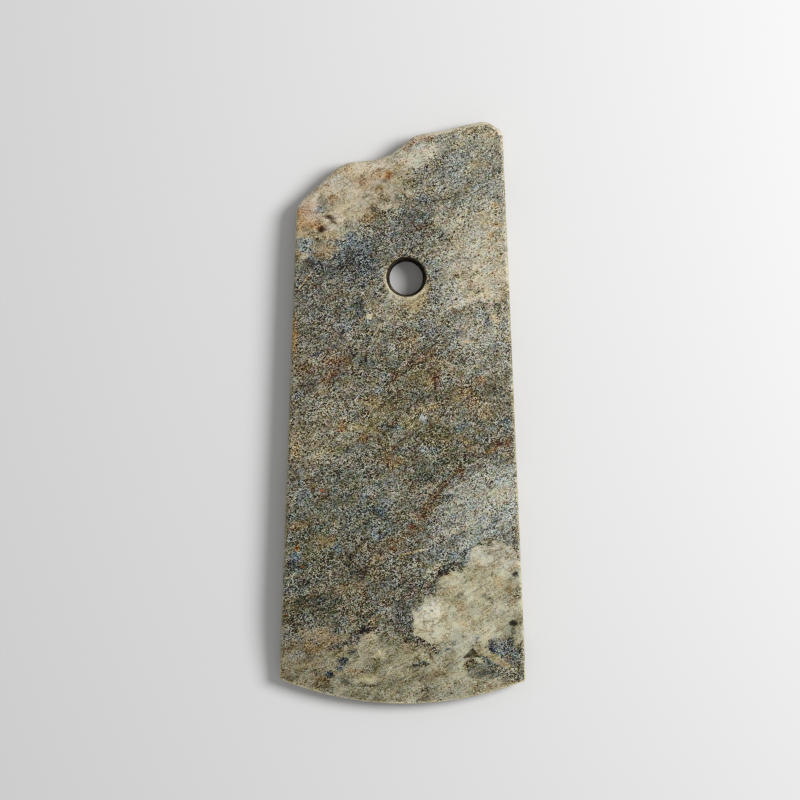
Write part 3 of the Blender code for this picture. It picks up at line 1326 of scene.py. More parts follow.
    def finish(self, coat: Coat, unpolished: Socket, shader: bpy.types.Node) -> None:
        """Links colour, gloss and fine relief to the shader.

        Args:
            coat: The whole coat.
            unpolished: Where the stone has no polish, 0 to 1.
            shader: The stone's shader.
        """
        bench = coat.bench
        light = bench.add("ShaderNodeGamma", {"Color": coat.colour, "Gamma": self.gamma}).outputs[0]
        light = bench.vector("SCALE", light, Scale=self.gain)
        own = bench.vector("SUBTRACT", light, (self.sky_shine,) * 3)
        own = bench.vector("MAXIMUM", own, (self.least_light,) * 3)
        bench.tree.links.new(own, shader.inputs["Base Color"])
        polish = bench.ramp(bench.noise(coat.place, self.gloss_cloud), self.polish)
        bench.tree.links.new(bench.math("MAXIMUM", polish, unpolished), shader.inputs["Roughness"])
        bump = bench.add("ShaderNodeBump", {
            "Height": bench.noise(coat.place, self.relief_cloud),
            "Strength": self.relief, "Distance": self.relief_height})
        bench.tree.links.new(bump.outputs[0], shader.inputs["Normal"])
        shader.inputs["Specular IOR Level"].default_value = self.specular


# Broad zones of the front face's speckled stone.
FRONT_ZONES = patches(
    ("crest", 20.1, 82.9, 14.8, 4.6, -4, (143, 140, 125), 0.9, 0.5, 0.3),
    ("crest_speckle", 21.4, 70.6, 13.5, 8, 0, (128, 127, 115), 0.9, 0.5, 0.25),
    ("broken_ledge", 4.1, 79.5, 6.8, 3.4, 28, (192, 188, 167), 0.9, 0.4, 0.3),
    ("dark_band_left", -17.7, 47.3, 13.5, 6.1, 10, (80, 81, 77), 0.9),
    ("dark_band_middle", -0.2, 56.2, 11.7, 5.2, 38, (105, 103, 93), 0.9),
    ("right_cream", 23.8, 45.1, 11.7, 12, 10, (172, 166, 146), 1, 0.35, 0.4),
    ("right_shoulder", 23.2, 58.7, 11.1, 5.5, 0, (169, 164, 144), 0.8, 0.5, 0.3),
    ("below_hole", -0.2, 31.0, 11.7, 3.7, -4, (132, 128, 109), 0.9),
    ("right_waist", 24.4, 23.9, 9.8, 6.8, 20, (137, 134, 119), 0.8),
    ("left_waist", -24.7, 30.1, 10.4, 10, 0, (106, 102, 89), 0.9),
    ("rust_cloud_left", -22.9, 14.1, 8.6, 5.2, 20, (110, 101, 84), 1),
    ("rust_cloud_middle", 6.0, 15.9, 6.8, 3.7, 10, (108, 100, 81), 1),
    ("middle", -0.2, 0.3, 13.5, 11, 20, (100, 93, 70), 0.9),
    ("right_middle", 24.4, 2.7, 10.4, 9.2, 10, (107, 101, 82), 0.9),
    ("left_low", -26.0, -4.7, 9.8, 11, 0, (125, 119, 98), 0.9),
    ("olive_low", -14.9, -30.5, 12.3, 12, 20, (97, 96, 81), 1),
    ("left_dusk", -29.7, -42.8, 7.4, 12, 0, (101, 99, 82), 1),
    ("left_foot", -27.8, -59.0, 10.4, 4.9, 0, (86, 83, 63), 1),
    ("middle_foot", -11.2, -54.4, 12.3, 12, 0, (94, 88, 69), 0.8),
    ("dark_before_cream", -0.8, -57.5, 6.1, 10, -15, (106, 103, 88), 1, 0.4),
    ("dark_corner", 30.9, -73.5, 5.2, 4, 25, (101, 107, 95), 1, 0.4),
    ("blue_speckle", 25.7, -26.8, 12.9, 10, 32, (146, 146, 134), 1, 0.25, 0.1),
    ("blue_speckle_foot", 20.7, -35.4, 13.5, 5.5, 24, (141, 144, 134), 1, 0.3),
    ("under_vein", 8.4, -40.6, 10.4, 3.7, 24, (109, 106, 94), 0.8),
)

# Smooth pale regions of the front face, which interrupt the speckled stone.
FRONT_CREAMS = patches(
    ("bottom_left", -26.6, -76.6, 13.5, 9.8, 5, (128, 118, 94), 1, 0.25, 0.6),
    ("bottom_middle", -5.1, -81.5, 17.8, 12, 0, (142, 138, 113), 1, 0.25, 0.7),
    ("bottom_right", 18.3, -82.7, 13.5, 8, -14, (160, 156, 131), 1, 0.3, 0.7),
    ("butt_cream_right", -8.1, 71.6, 11.7, 7.4, 8, (174, 164, 143), 1, 0.45, 0.92),
    ("butt_cream_left", -19.8, 64.5, 12.9, 9.2, 35, (195, 184, 162), 1, 0.45, 0.92),
    ("butt_corner", -30.3, 55.6, 4.3, 8, -8, (167, 154, 129), 1, 0.45, 0.85),
    ("cream_patch_top", 28.1, -47.4, 9.5, 7.4, 4, (182, 178, 158), 1, 0.1, 0.92),
    ("cream_patch", 24.4, -59.4, 15.4, 11, 0, (180, 176, 149), 1, 0.1, 0.92),
    ("cream_patch_right", 34.3, -59.4, 4.3, 14, -4, (159, 156, 132), 1, 0.1, 0.85),
    ("cream_patch_tail", 12.1, -64.3, 8.6, 7.4, 0, (183, 178, 150), 1, 0.1, 0.92),
    ("cream_patch_foot", 18.3, -72.3, 8.0, 4.9, -10, (168, 166, 145), 1, 0.1, 0.85),
)

# Stains of the front face, the lowest first.
FRONT_SPOTS = patches(
    # Broad washes under the small stains.
    ("butt_upper_wash", -11.2, 75.2, 7.4, 2, 8, (222, 204, 176), 0.5, 0.65, 0.7),
    ("right_upper_wash", 23.8, 26.1, 8.6, 4.9, 0, (184, 180, 164), 0.35, 0.65),
    ("middle_shade", -7.8, 14.1, 6.8, 4.9, 0, (84, 78, 58), 0.35, 0.65),
    ("vein_shade", 27.5, -9.3, 6.1, 3.4, 10, (90, 82, 64), 0.35, 0.65),
    ("right_pale_wash", 23.8, 14.7, 8.0, 4.3, 0, (158, 152, 134), 0.3, 0.65),
    ("shoulder_wash", 6.0, 68.2, 7.4, 3.7, -20, (158, 152, 130), 0.36, 0.65, 0.25),
    # The butt.
    ("pale_slope", -24.7, 69.1, 11.1, 1.8, 44, (221, 208, 182), 0.48, 0.65, 0.5),
    ("pink_corner", -29.0, 62.3, 3.1, 3.4, 20, (181, 148, 124), 0.64, 0.65, 0.6),
    ("orange_edge", -31.2, 59.3, 1.5, 3.7, 0, (189, 144, 95), 0.56, 0.65, 0.6),
    ("orange_spot", -27.5, 57.7, 2.2, 1.5, 10, (173, 130, 79), 0.64, 0.65, 0.5),
    ("cream_spot", -28.4, 59.9, 2.5, 1.2, 0, (182, 165, 149), 0.48, 0.65, 0.6),
    ("blue_smudge", -25.0, 64.2, 1.4, 2.5, -15, (131, 128, 112), 0.75, 0.5, 0.4),
    ("blue_smudge_low", -25.4, 62.3, 1.8, 0.92, 0, (113, 113, 111), 0.7, 0.5, 0.3),
    ("grey_streak", -19.8, 72.2, 2.2, 1.1, 40, (210, 212, 200), 0.6, 0.5, 0.5),
    ("light_orange", -15.5, 74.3, 1.2, 1.8, 0, (228, 204, 166), 0.48, 0.65, 0.6),
    ("brown_wash", -11.8, 71.3, 2.8, 1.4, 0, (166, 135, 106), 0.64, 0.65, 0.5),
    ("olive_by_ledge", -2.0, 74.9, 2.8, 1.1, 60, (120, 107, 75), 0.56, 0.65, 0.2),
    ("olive_band_upper", -6.0, 66.3, 1.8, 1.5, 50, (105, 94, 68), 0.56, 0.65, 0.2),
    ("olive_band_lower", -9.7, 61.1, 1.8, 3.1, -30, (107, 90, 61), 0.56, 0.65, 0.2),
    ("orange_low", -11.8, 59.3, 2.5, 1.5, 0, (121, 95, 65), 0.56, 0.65, 0.4),
    ("tan_wash", -16.8, 63.3, 4.6, 2.8, 0, (168, 155, 120), 0.4, 0.65, 0.6),
    ("fold_upper", -27.8, 55.3, 3.4, 0.8, -30, (131, 121, 92), 0.8, 0.5, 0.5),
    ("fold_lower", -25.0, 52.8, 2.5, 0.8, -25, (96, 96, 83), 0.85, 0.5, 0.5),
    ("tan_fold", -23.5, 50.4, 4.0, 2.5, -10, (170, 153, 120), 0.76, 0.65, 0.5),
    ("tan_fold_foot", -24.7, 48.2, 2.5, 1.4, 0, (157, 135, 105), 0.68, 0.65, 0.5),
    ("tan_fold_head", -22.9, 55.0, 2.8, 1.5, 10, (165, 139, 97), 0.64, 0.65, 0.5),
    ("pale_gap", -16.8, 57.4, 4.3, 2.2, 10, (134, 133, 115), 0.7, 0.5, 0.4),
    ("blue_patch", -30.0, 52.2, 2.2, 2.3, 0, (132, 140, 139), 0.95, 0.4, 0.3),
    ("blue_patch_foot", -28.4, 50.0, 1.5, 0.92, -30, (114, 122, 123), 0.7, 0.5, 0.2),
    ("blue_wash", -15.5, 53.4, 4.3, 2.8, 0, (137, 142, 137), 0.6, 0.6),
    ("blue_dark_wash", -11.2, 48.2, 3.1, 4.3, 0, (89, 95, 98), 0.6, 0.6),
    ("olive_left_rim", -32.7, 47.6, 1.1, 4.3, 5, (116, 112, 86), 0.64, 0.65, 0.4),
    # The ledge and the crest.
    ("ledge_rust", 3.2, 83.5, 3.4, 0.92, 26, (188, 148, 120), 0.64, 0.65, 0.4),
    ("ledge_rust_end", 7.8, 84.9, 2.5, 0.74, 8, (188, 155, 130), 0.48, 0.65, 0.4),
    ("ledge_rust_foot", 0.8, 81.1, 1.5, 0.68, 10, (161, 131, 111), 0.56, 0.65, 0.3),
    ("ledge_pink", 0.5, 77.7, 2.8, 0.92, 15, (193, 169, 156), 0.48, 0.65, 0.4),
    ("ledge_pale", 6.0, 80.8, 4.3, 1.4, 22, (193, 186, 170), 0.6, 0.5, 0.4),
    ("beige_smear", 21.4, 75.9, 3.1, 1.1, 42, (165, 155, 123), 0.64, 0.65, 0.8),
    ("crest_warm", 23.8, 86.9, 6.8, 1.5, -4, (169, 158, 130), 0.6, 0.5, 0.3),
    ("tan_dot", 25.7, 76.8, 1.0, 1, 0, (173, 145, 111), 0.56, 0.65, 0.4),
    ("orange_dot", 28.1, 63.9, 1.0, 0.74, 0, (163, 130, 82), 0.64, 0.65, 0.3),
    ("orange_row", 28.1, 58.3, 2.5, 0.61, 0, (165, 131, 87), 0.56, 0.65, 0.2),
    ("orange_row_low", 26.9, 54.7, 1.1, 0.92, 0, (161, 123, 76), 0.64, 0.65, 0.3),
    ("olive_shoulder", 0.8, 71.3, 2.8, 2.2, 20, (121, 112, 82), 0.48, 0.65, 0.2),
    ("red_specks", 3.8, 56.8, 2.2, 1.8, 0, (107, 90, 72), 0.6, 0.6),
    ("dark_specks", 2.9, 60.5, 2.8, 1.8, 0, (91, 88, 82), 0.6, 0.6),
    ("dark_specks_right", 11.5, 66.3, 2.2, 1.1, 0, (82, 80, 79), 0.5, 0.6),
    ("dark_specks_left", 6.0, 65.4, 2.2, 1.8, 0, (59, 61, 61), 0.5, 0.6),
    ("blue_grey_crest", 15.2, 76.2, 4.3, 3.7, 20, (142, 146, 136), 0.5, 0.6),
    # Round the hole and right of it.
    ("cream_streak", 24.4, 39.3, 9.2, 2.5, 14, (193, 183, 158), 0.48, 0.65, 0.3),
    ("cream_streak_foot", 26.9, 35.6, 4.6, 1.2, 0, (222, 208, 177), 0.48, 0.65, 0.3),
    ("blue_by_hole", 11.8, 43.3, 4.0, 4.3, 10, (130, 130, 121), 0.7, 0.6),
    ("blue_below", 13.7, 35.6, 4.3, 3.7, 0, (160, 159, 151), 0.6, 0.6),
    ("warm_right", 30.0, 43.9, 2.5, 6.8, 0, (142, 123, 92), 0.4, 0.65, 0.3),
    ("brown_spot", 20.9, 39.3, 1.0, 1.4, 0, (131, 113, 89), 0.68, 0.65, 0.2),
    ("brown_spot_left", 16.4, 42.1, 0.9, 0.86, 0, (140, 113, 84), 0.68, 0.65, 0.2),
    ("rim_ochre", 3.8, 34.7, 4.6, 2.5, 30, (155, 135, 91), 0.68, 0.65, 0.6),
    ("rim_cream", -1.4, 35.0, 3.7, 1.5, -15, (199, 192, 168), 0.6, 0.65, 0.7),
    ("below_cream", -8.1, 31.0, 4.3, 1.8, 5, (134, 129, 109), 0.56, 0.65, 0.3),
    ("dark_gap", -13.1, 32.8, 1.5, 2.8, 0, (59, 62, 65), 0.6, 0.6),
    ("pale_streak_low", -5.4, 27.3, 4.3, 0.61, 3, (163, 158, 142), 0.6, 0.5, 0.2),
    ("blue_by_blob", 26.3, 27.9, 0.9, 1.1, 0, (83, 87, 89), 0.85, 0.4),
    ("blue_right", 7.8, 25.5, 2.8, 2.8, 0, (97, 102, 99), 0.55, 0.6),
    ("dark_blue_right", 17.4, 24.5, 1.2, 0.92, 0, (78, 80, 79), 0.7),
    ("tan_waist", 2.3, 21.8, 3.1, 2.5, 0, (153, 129, 89), 0.4, 0.65, 0.1),
    # The left side above the middle.
    ("blue_streak_wash", -16.8, 27.3, 1.5, 2.8, -25, (91, 97, 100), 0.5, 0.6),
    ("pale_streak", -17.1, 23.3, 3.7, 1, 46, (121, 119, 111), 0.75, 0.5, 0.2),
    ("pale_streak_foot", -26.6, 15.9, 1.8, 0.74, 20, (194, 189, 165), 0.7, 0.5, 0.2),
    ("orange_rim", -33.2, 23.9, 0.9, 5.5, -2, (138, 99, 43), 0.68, 0.65, 0.5),
    ("brown_left", -29.0, 13.2, 3.4, 1.8, 10, (99, 77, 53), 0.48, 0.65),
    ("red_brown", -19.8, 16.2, 4.0, 2.2, 20, (111, 90, 68), 0.56, 0.65),
    ("red_brown_foot", -23.5, 10.1, 2.8, 2.2, 30, (104, 81, 53), 0.48, 0.65),
    ("dark_blue", -11.8, 15.9, 2.8, 1.5, 0, (89, 91, 83), 0.6, 0.6),
    ("dark_olive", -15.2, 18.1, 1.5, 1.5, 0, (65, 62, 52), 0.6, 0.6),
    ("pale_fleck", -7.5, 18.1, 1.0, 1.8, -15, (175, 169, 143), 0.56, 0.65, 0.2),
    ("grey_blue", -5.4, 11.0, 1.8, 1.5, 0, (123, 125, 122), 0.8, 0.5, 0.2),
    ("grey_blue_foot", -7.2, 7.3, 1.8, 0.92, 0, (126, 126, 125), 0.6),
    ("dark_by_fleck", -6.0, 18.4, 1.5, 1.5, 0, (72, 72, 64), 0.6, 0.6),
    ("dark_left", -29.7, 8.3, 2.5, 1.8, 0, (70, 64, 53), 0.6, 0.6),
    ("blue_left", -31.8, 5.2, 1.5, 1.5, 0, (94, 94, 89), 0.7),
    ("blue_grey_left", -20.7, 7.6, 1.8, 2.2, 0, (106, 109, 106), 0.5, 0.6),
    ("rust_fleck", -2.0, 11.9, 1.5, 1.5, 0, (91, 60, 27), 0.48, 0.65),
    ("ochre_left", -17.7, 8.6, 2.2, 1.5, 0, (126, 109, 70), 0.48, 0.65),
    ("yellow_middle", -9.4, 3.6, 2.8, 2.2, 0, (143, 123, 79), 0.4, 0.65),
    # The middle.
    ("beige_smudge", -7.2, -1.0, 3.4, 2.8, 20, (146, 138, 109), 0.68, 0.65, 0.7),
    ("dark_under_smudge", -4.5, -5.0, 4.0, 1.4, 0, (51, 52, 40), 0.7, 0.6),
    ("blue_middle", -1.1, -5.9, 1.5, 1.8, 0, (129, 134, 129), 0.7),
    ("ochre_band", -11.2, -5.3, 5.5, 1.2, -4, (147, 133, 91), 0.56, 0.65, 0.1),
    ("cream_yellow", -14.6, -5.0, 2.2, 1.2, 0, (158, 145, 108), 0.48, 0.65, 0.2),
    ("rust_small", -18.3, -4.3, 1.5, 1.5, 0, (142, 108, 67), 0.56, 0.65),
    ("rust_low", -12.8, -8.3, 2.2, 1.2, 0, (104, 75, 37), 0.48, 0.65),
    ("rust_wide", -3.5, -14.8, 3.1, 2.2, 0, (111, 85, 41), 0.48, 0.65),
    ("tan_left", -26.0, -10.5, 3.1, 4, 30, (144, 131, 99), 0.48, 0.65, 0.1),
    ("tan_left_edge", -32.4, -10.2, 2.2, 2.8, 0, (154, 128, 87), 0.48, 0.65),
    ("blue_low", -13.7, -12.0, 3.1, 1.8, 0, (98, 100, 96), 0.6, 0.6),
    ("dark_low", -20.7, -17.6, 3.4, 1.8, 0, (71, 71, 64), 0.5, 0.6),
    ("blue_far_left", -31.2, -21.2, 1.2, 0.92, 0, (142, 154, 155), 0.85),
    ("dark_far_left", -32.4, -20.3, 1.8, 0.92, 0, (64, 65, 53), 0.6),
    ("blue_wide_left", -30.3, -25.9, 2.8, 2.8, 0, (109, 115, 113), 0.6, 0.6),
    ("brown_far_left", -27.5, -23.1, 0.9, 1.5, 0, (66, 45, 19), 0.56, 0.65),
    ("pale_blue_low", -10.6, -24.3, 3.7, 1.5, 10, (124, 130, 125), 0.5, 0.6),
    ("blue_wide_low", -8.1, -29.2, 5.5, 2.5, 0, (115, 120, 118), 0.4, 0.6),
    ("dark_blue_low", -6.3, -30.8, 2.5, 1.5, 0, (58, 67, 74), 0.5, 0.6),
    # Right of the middle.
    ("rust_path", 4.8, 16.2, 6.1, 1.1, 38, (93, 69, 44), 0.42, 0.65),
    ("rust_path_head", 7.8, 19.3, 2.8, 1.4, 30, (87, 71, 58), 0.34, 0.65),
    ("rust_dark", 10.6, 10.1, 1.4, 2, -20, (58, 29, 8), 0.4, 0.65),
    ("rust_stem", 8.8, 12.9, 1.0, 2.5, 10, (137, 97, 54), 0.3, 0.65),
    ("olive_lens", 4.8, 11.6, 3.1, 2.2, 20, (125, 113, 80), 0.6, 0.6, 0.2),
    ("cream_fleck", 8.4, 9.5, 1.4, 1, 0, (162, 140, 100), 0.64, 0.65, 0.2),
    ("tan_right", 13.7, 14.4, 3.4, 1.4, 10, (164, 150, 117), 0.48, 0.65, 0.2),
    ("rust_right", 18.6, 8.9, 2.2, 1.5, 0, (129, 102, 65), 0.48, 0.65),
    ("rust_far_right", 24.7, 10.1, 1.5, 1.2, 0, (153, 107, 71), 0.56, 0.65),
    ("rust_wide_right", 20.1, 4.6, 3.1, 2.5, 0, (139, 109, 70), 0.48, 0.65),
    ("dark_right", 19.2, 15.6, 2.5, 1.4, 0, (78, 76, 69), 0.6, 0.6),
    ("dark_wide_right", 6.6, 4.6, 5.2, 2.5, 0, (99, 94, 82), 0.6, 0.6),
    ("tan_line_right", 8.4, 1.5, 4.6, 1.2, 14, (182, 164, 120), 0.48, 0.65),
    ("cream_middle", 2.9, -3.4, 2.8, 2.5, 0, (182, 173, 135), 0.4, 0.65, 0.1),
    ("blue_fleck", 6.3, -1.6, 1.4, 1.4, 0, (155, 160, 153), 0.75),
    ("blue_fleck_low", 3.2, -9.0, 1.4, 0.92, 30, (135, 135, 120), 0.7),
    ("pale_blue_fleck", 8.1, -11.7, 2.3, 1.4, -20, (125, 131, 126), 0.85),
    ("blue_band", 18.3, -4.3, 3.1, 1.5, 20, (118, 122, 121), 0.6, 0.6),
    ("blue_right_spot", 27.5, -5.3, 1.7, 1, 0, (116, 126, 123), 0.75),
    ("blue_right_edge", 32.1, -3.7, 1.4, 2.2, 0, (93, 105, 106), 0.75),
    ("blue_grey_right", 23.8, -8.3, 2.8, 1.2, 0, (115, 114, 109), 0.5, 0.6),
    ("olive_middle", 11.5, -7.7, 6.1, 2.8, 20, (78, 70, 36), 0.48, 0.65),
    ("olive_middle_low", 15.8, -12.0, 3.7, 2.5, 0, (81, 73, 46), 0.6, 0.6),
    ("olive_wide", 8.4, -17.6, 8.3, 3.7, 20, (82, 83, 64), 0.5, 0.6),
    ("ochre_right", 25.4, 0.3, 2.2, 2.5, 0, (140, 118, 70), 0.48, 0.65),
    ("ochre_fleck", 19.2, -9.0, 1.4, 1, 0, (153, 136, 99), 0.56, 0.65),
    ("cream_fleck_right", 21.0, -11.4, 1.4, 1, 0, (155, 129, 90), 0.56, 0.65),
    # The pale stone under the rust vein.
    ("cream_band", 30.9, -25.2, 7.4, 2.5, 12, (188, 178, 150), 0.48, 0.65, 0.1),
    ("cream_band_low", 20.7, -32.9, 8.6, 1.2, 28, (176, 168, 148), 0.5),
    ("cream_band_foot", 16.1, -36.6, 8.0, 0.92, 30, (171, 161, 134), 0.4, 0.65),
    ("dark_by_vein", 18.6, -20.0, 1.8, 0.92, 0, (79, 69, 56), 0.6),
    # The rust vein.
    ("vein_right", 32.7, -9.0, 0.9, 1.8, -10, (87, 53, 22), 0.76, 0.7),
    ("vein_right_dark", 30.0, -9.6, 1.0, 1.1, -30, (72, 49, 26), 0.72, 0.7),
    ("vein_a", 27.2, -11.7, 2.8, 0.58, 22, (129, 105, 67), 0.72, 0.7),
    ("vein_b", 24.1, -13.0, 1.5, 0.58, 20, (72, 47, 25), 0.72, 0.7),
    ("vein_c", 20.7, -13.0, 1.8, 0.98, 0, (73, 64, 50), 0.54, 0.7),
    ("vein_d", 18.0, -17.6, 1.4, 1.2, 20, (87, 60, 25), 0.72, 0.7),
    ("vein_e", 14.9, -20.0, 2.5, 0.61, 42, (114, 96, 70), 0.76, 0.7),
    ("vein_f", 12.4, -22.8, 2.2, 0.74, 40, (61, 35, 13), 0.72, 0.7),
    ("vein_g", 10.0, -25.9, 2.5, 0.98, 40, (79, 60, 37), 0.62, 0.7),
    ("vein_h", 7.5, -29.2, 2.6, 1.1, 35, (94, 75, 50), 0.62, 0.7),
    ("vein_i", 6.6, -31.7, 3.1, 0.89, 10, (82, 50, 20), 0.62, 0.7),
    ("vein_j", 2.9, -34.8, 1.4, 0.89, 30, (76, 44, 28), 0.76, 0.7),
    ("vein_k", 1.7, -37.2, 2.5, 0.98, 10, (94, 66, 40), 0.62, 0.7),
    ("vein_l", -2.3, -39.4, 2.2, 0.74, 0, (120, 88, 57), 0.62, 0.7),
    ("vein_m", -2.9, -41.8, 1.4, 0.74, 0, (80, 47, 26), 0.68, 0.7),
    ("vein_cloud", -10.0, -42.8, 8.0, 2.5, -6, (112, 93, 73), 0.25, 0.65),
    # Between the vein and the cream patch.
    ("blue_step", 18.0, -44.0, 2.5, 3.1, 0, (127, 130, 124), 0.85),
    ("blue_step_left", 11.5, -44.3, 4.0, 2.2, 0, (92, 99, 97), 0.6, 0.6),
    ("tan_streak", 10.3, -47.7, 4.6, 1.2, 42, (181, 174, 142), 0.52, 0.65, 0.1),
    ("dark_streak", 11.5, -50.4, 4.0, 1, 42, (47, 45, 35), 0.75),
    ("dark_streak_foot", 6.6, -54.4, 4.6, 1.4, 12, (73, 68, 55), 0.6, 0.6),
    ("red_streak", 2.6, -55.4, 1.8, 1.4, 30, (93, 61, 41), 0.32, 0.65),
    ("dark_before", 0.8, -61.2, 3.4, 6.1, 0, (67, 67, 61), 0.55, 0.6),
    ("tan_middle", -7.2, -45.2, 2.5, 1.5, 0, (178, 161, 128), 0.4, 0.65),
    ("tan_middle_foot", -15.2, -53.8, 3.1, 2.5, 0, (147, 128, 98), 0.48, 0.65),
    ("dark_brown", -16.1, -45.2, 1.8, 2.2, 0, (55, 40, 9), 0.65, 0.6),
    ("dark_blue_foot", -12.4, -48.6, 2.5, 1.4, 0, (59, 56, 51), 0.7),
    ("blue_halo", -6.9, -36.9, 2.5, 2.2, 0, (126, 134, 139), 0.6),
    # The left side below the middle.
    ("blue_amber", -32.1, -44.3, 1.4, 1.5, 0, (111, 121, 123), 0.85, 0.5, 0.1),
    ("blue_amber_foot", -32.1, -48.9, 1.4, 1.5, 20, (76, 87, 93), 0.75),
    ("blue_left_low", -20.4, -41.2, 1.4, 1.7, 0, (92, 104, 110), 0.7),
    ("ochre_left_low", -23.8, -39.7, 3.1, 1.7, 0, (124, 107, 67), 0.68, 0.65, 0.2),
    ("tan_fleck", -21.1, -34.2, 1.1, 1, 0, (154, 140, 96), 0.6, 0.65, 0.2),
    ("olive_left_low", -27.5, -42.8, 3.7, 1.8, 30, (129, 117, 81), 0.4, 0.65),
    ("rust_left_low", -32.7, -34.8, 2.8, 1.5, 0, (152, 121, 75), 0.44, 0.65),
    ("dark_left_low", -33.7, -47.1, 1.8, 1.4, 0, (53, 49, 43), 0.6, 0.6),
    ("dark_left_foot", -30.6, -52.3, 2.2, 1.4, 0, (47, 48, 44), 0.6, 0.6),
    ("dark_left_end", -30.6, -58.7, 1.8, 1.4, 0, (70, 70, 62), 0.6, 0.6),
    ("dark_wide_foot", -24.4, -57.5, 4.3, 2.8, 0, (73, 74, 67), 0.5, 0.6),
    ("blue_foot", -9.4, -56.3, 1.4, 1.7, 0, (106, 108, 107), 0.5, 0.6),
    ("blue_foot_right", -5.1, -53.2, 3.1, 1.2, 20, (100, 105, 109), 0.5, 0.6),
    ("brown_foot", -11.5, -56.6, 1.1, 1.1, 0, (136, 113, 74), 0.56, 0.65),
    ("brown_foot_right", -4.8, -58.4, 1.8, 1.4, 0, (71, 51, 26), 0.48, 0.65),
    # The bottom left.
    ("pink_low", -27.2, -70.7, 4.0, 3.1, 0, (133, 113, 85), 0.56, 0.65, 0.5),
    ("pink_low_right", -20.4, -69.8, 3.1, 1.8, 0, (123, 101, 71), 0.48, 0.65, 0.4),
    ("grey_low_left", -33.7, -68.9, 2.5, 2.5, 0, (120, 117, 104), 0.65, 0.6, 0.2),
    ("grey_low", -31.8, -74.7, 2.2, 1.8, 0, (145, 146, 140), 0.65, 0.6, 0.3),
    ("grey_pink", -26.3, -70.7, 1.4, 1, 0, (94, 91, 81), 0.6, 0.5, 0.2),
    ("tan_low", -31.5, -79.9, 4.0, 3.1, 0, (157, 152, 122), 0.55, 0.6, 0.6),
    ("blue_line", -19.2, -71.6, 4.0, 0.68, 18, (72, 73, 70), 0.8),
    ("blue_line_end", -15.2, -73.5, 1.4, 0.74, 20, (66, 64, 64), 0.75),
    ("dark_blue_spot", -18.3, -76.6, 1.7, 1, 20, (56, 60, 61), 0.9),
    ("light_blue_spot", -18.9, -78.7, 1.4, 0.92, 10, (97, 103, 111), 0.85, 0.5, 0.1),
    ("black_blue_spot", -22.7, -80.9, 1.4, 1.1, 0, (34, 42, 48), 0.95, 0.45),
    ("grey_arc", -17.7, -83.0, 2.2, 0.92, -30, (77, 74, 63), 0.6, 0.5, 0.2),
    ("grey_small", -26.9, -80.3, 1.0, 0.92, 0, (97, 99, 96), 0.75, 0.5, 0.2),
    # The bottom middle.
    ("top_shadow", -11.8, -67.3, 2.8, 0.74, 14, (26, 8, 8), 0.9),
    ("blue_by_pale", -5.1, -68.9, 2.5, 1, 10, (83, 82, 72), 0.65),
    ("pale_drop", -9.7, -68.9, 1.8, 1.3, 10, (170, 159, 131), 0.76, 0.65, 0.7),
    ("pale_drop_low", -6.9, -74.4, 1.7, 1.4, 20, (218, 206, 171), 0.68, 0.65, 0.7),
    ("pale_drop_right", -4.8, -78.7, 1.7, 1.4, -30, (205, 199, 171), 0.6, 0.65, 0.7),
    ("arc_shadow", -11.2, -83.9, 4.0, 0.92, 0, (109, 108, 88), 0.8, 0.5, 0.3),
    ("pale_drop_foot", -11.2, -82.3, 3.4, 1.4, 0, (207, 199, 162), 0.76, 0.65, 0.8),
    ("blue_bottom", -12.1, -78.7, 2.5, 1, 0, (110, 106, 93), 0.55, 0.6, 0.2),
    ("brown_bottom", -14.9, -79.3, 1.8, 1, 0, (93, 65, 31), 0.52, 0.65, 0.4),
    ("grey_bottom", 5.4, -77.5, 2.8, 0.92, 5, (84, 81, 70), 0.75, 0.5, 0.1),
    ("brown_bottom_top", 1.7, -69.8, 1.1, 1.1, 0, (79, 67, 41), 0.85),
    ("brown_top_wide", 3.5, -71.6, 5.2, 1.8, 0, (104, 90, 64), 0.44, 0.65, 0.1),
    ("grey_bottom_foot", 8.4, -85.5, 9.2, 1.8, 6, (126, 123, 110), 0.4, 0.6, 0.3),
    ("dark_bottom_line", 9.1, -74.1, 2.2, 0.61, 0, (83, 79, 62), 0.75, 0.5, 0.2),
    # The corner.
    ("blue_net", 30.0, -72.6, 4.3, 3.1, -10, (88, 92, 91), 0.75),
    ("dark_net", 27.2, -72.9, 1.0, 1, 0, (18, 25, 31), 0.85),
    ("dark_net_right", 33.0, -70.7, 1.0, 1.4, 0, (64, 63, 53), 0.75),
    ("rust_net", 32.4, -75.3, 1.4, 0.92, 0, (145, 115, 84), 0.52, 0.65),
    ("brown_block", 21.0, -77.8, 2.5, 2, 0, (73, 62, 38), 0.8, 0.35, 0.2),
    # Small details of the cream patch, the butt and the foot.
    ("cream_white", 8.8, -61.2, 4.0, 4.9, 0, (220, 216, 196), 0.8, 0.5, 0.95),
    ("cream_white_foot", 11.5, -68.3, 4.6, 2.8, -20, (206, 202, 178), 0.6, 0.5, 0.95),
    ("rust_spot", -4.3, 73.1, 1.4, 1.3, 0, (153, 100, 52), 0.72, 0.65, 0.5),
    ("rust_light", -7.5, 73.1, 1.1, 1, 0, (191, 147, 100), 0.64, 0.65, 0.5),
    ("brown_nick", -7.2, 74.9, 1.2, 0.49, 20, (120, 87, 57), 0.68, 0.65, 0.4),
    ("olive_spot", -7.2, 69.4, 1.4, 0.98, 0, (128, 109, 71), 0.68, 0.65, 0.4),
    ("brown_dot", -23.5, 70.0, 1.0, 0.8, 0, (130, 96, 62), 0.68, 0.65, 0.5),
    ("rust_dot", -22.0, 66.0, 1.0, 1.2, 30, (156, 122, 82), 0.68, 0.65, 0.5),
    ("pale_streak_crisp", 18.3, 33.8, 6.8, 0.74, 22, (209, 199, 172), 0.6, 0.5, 0.3),
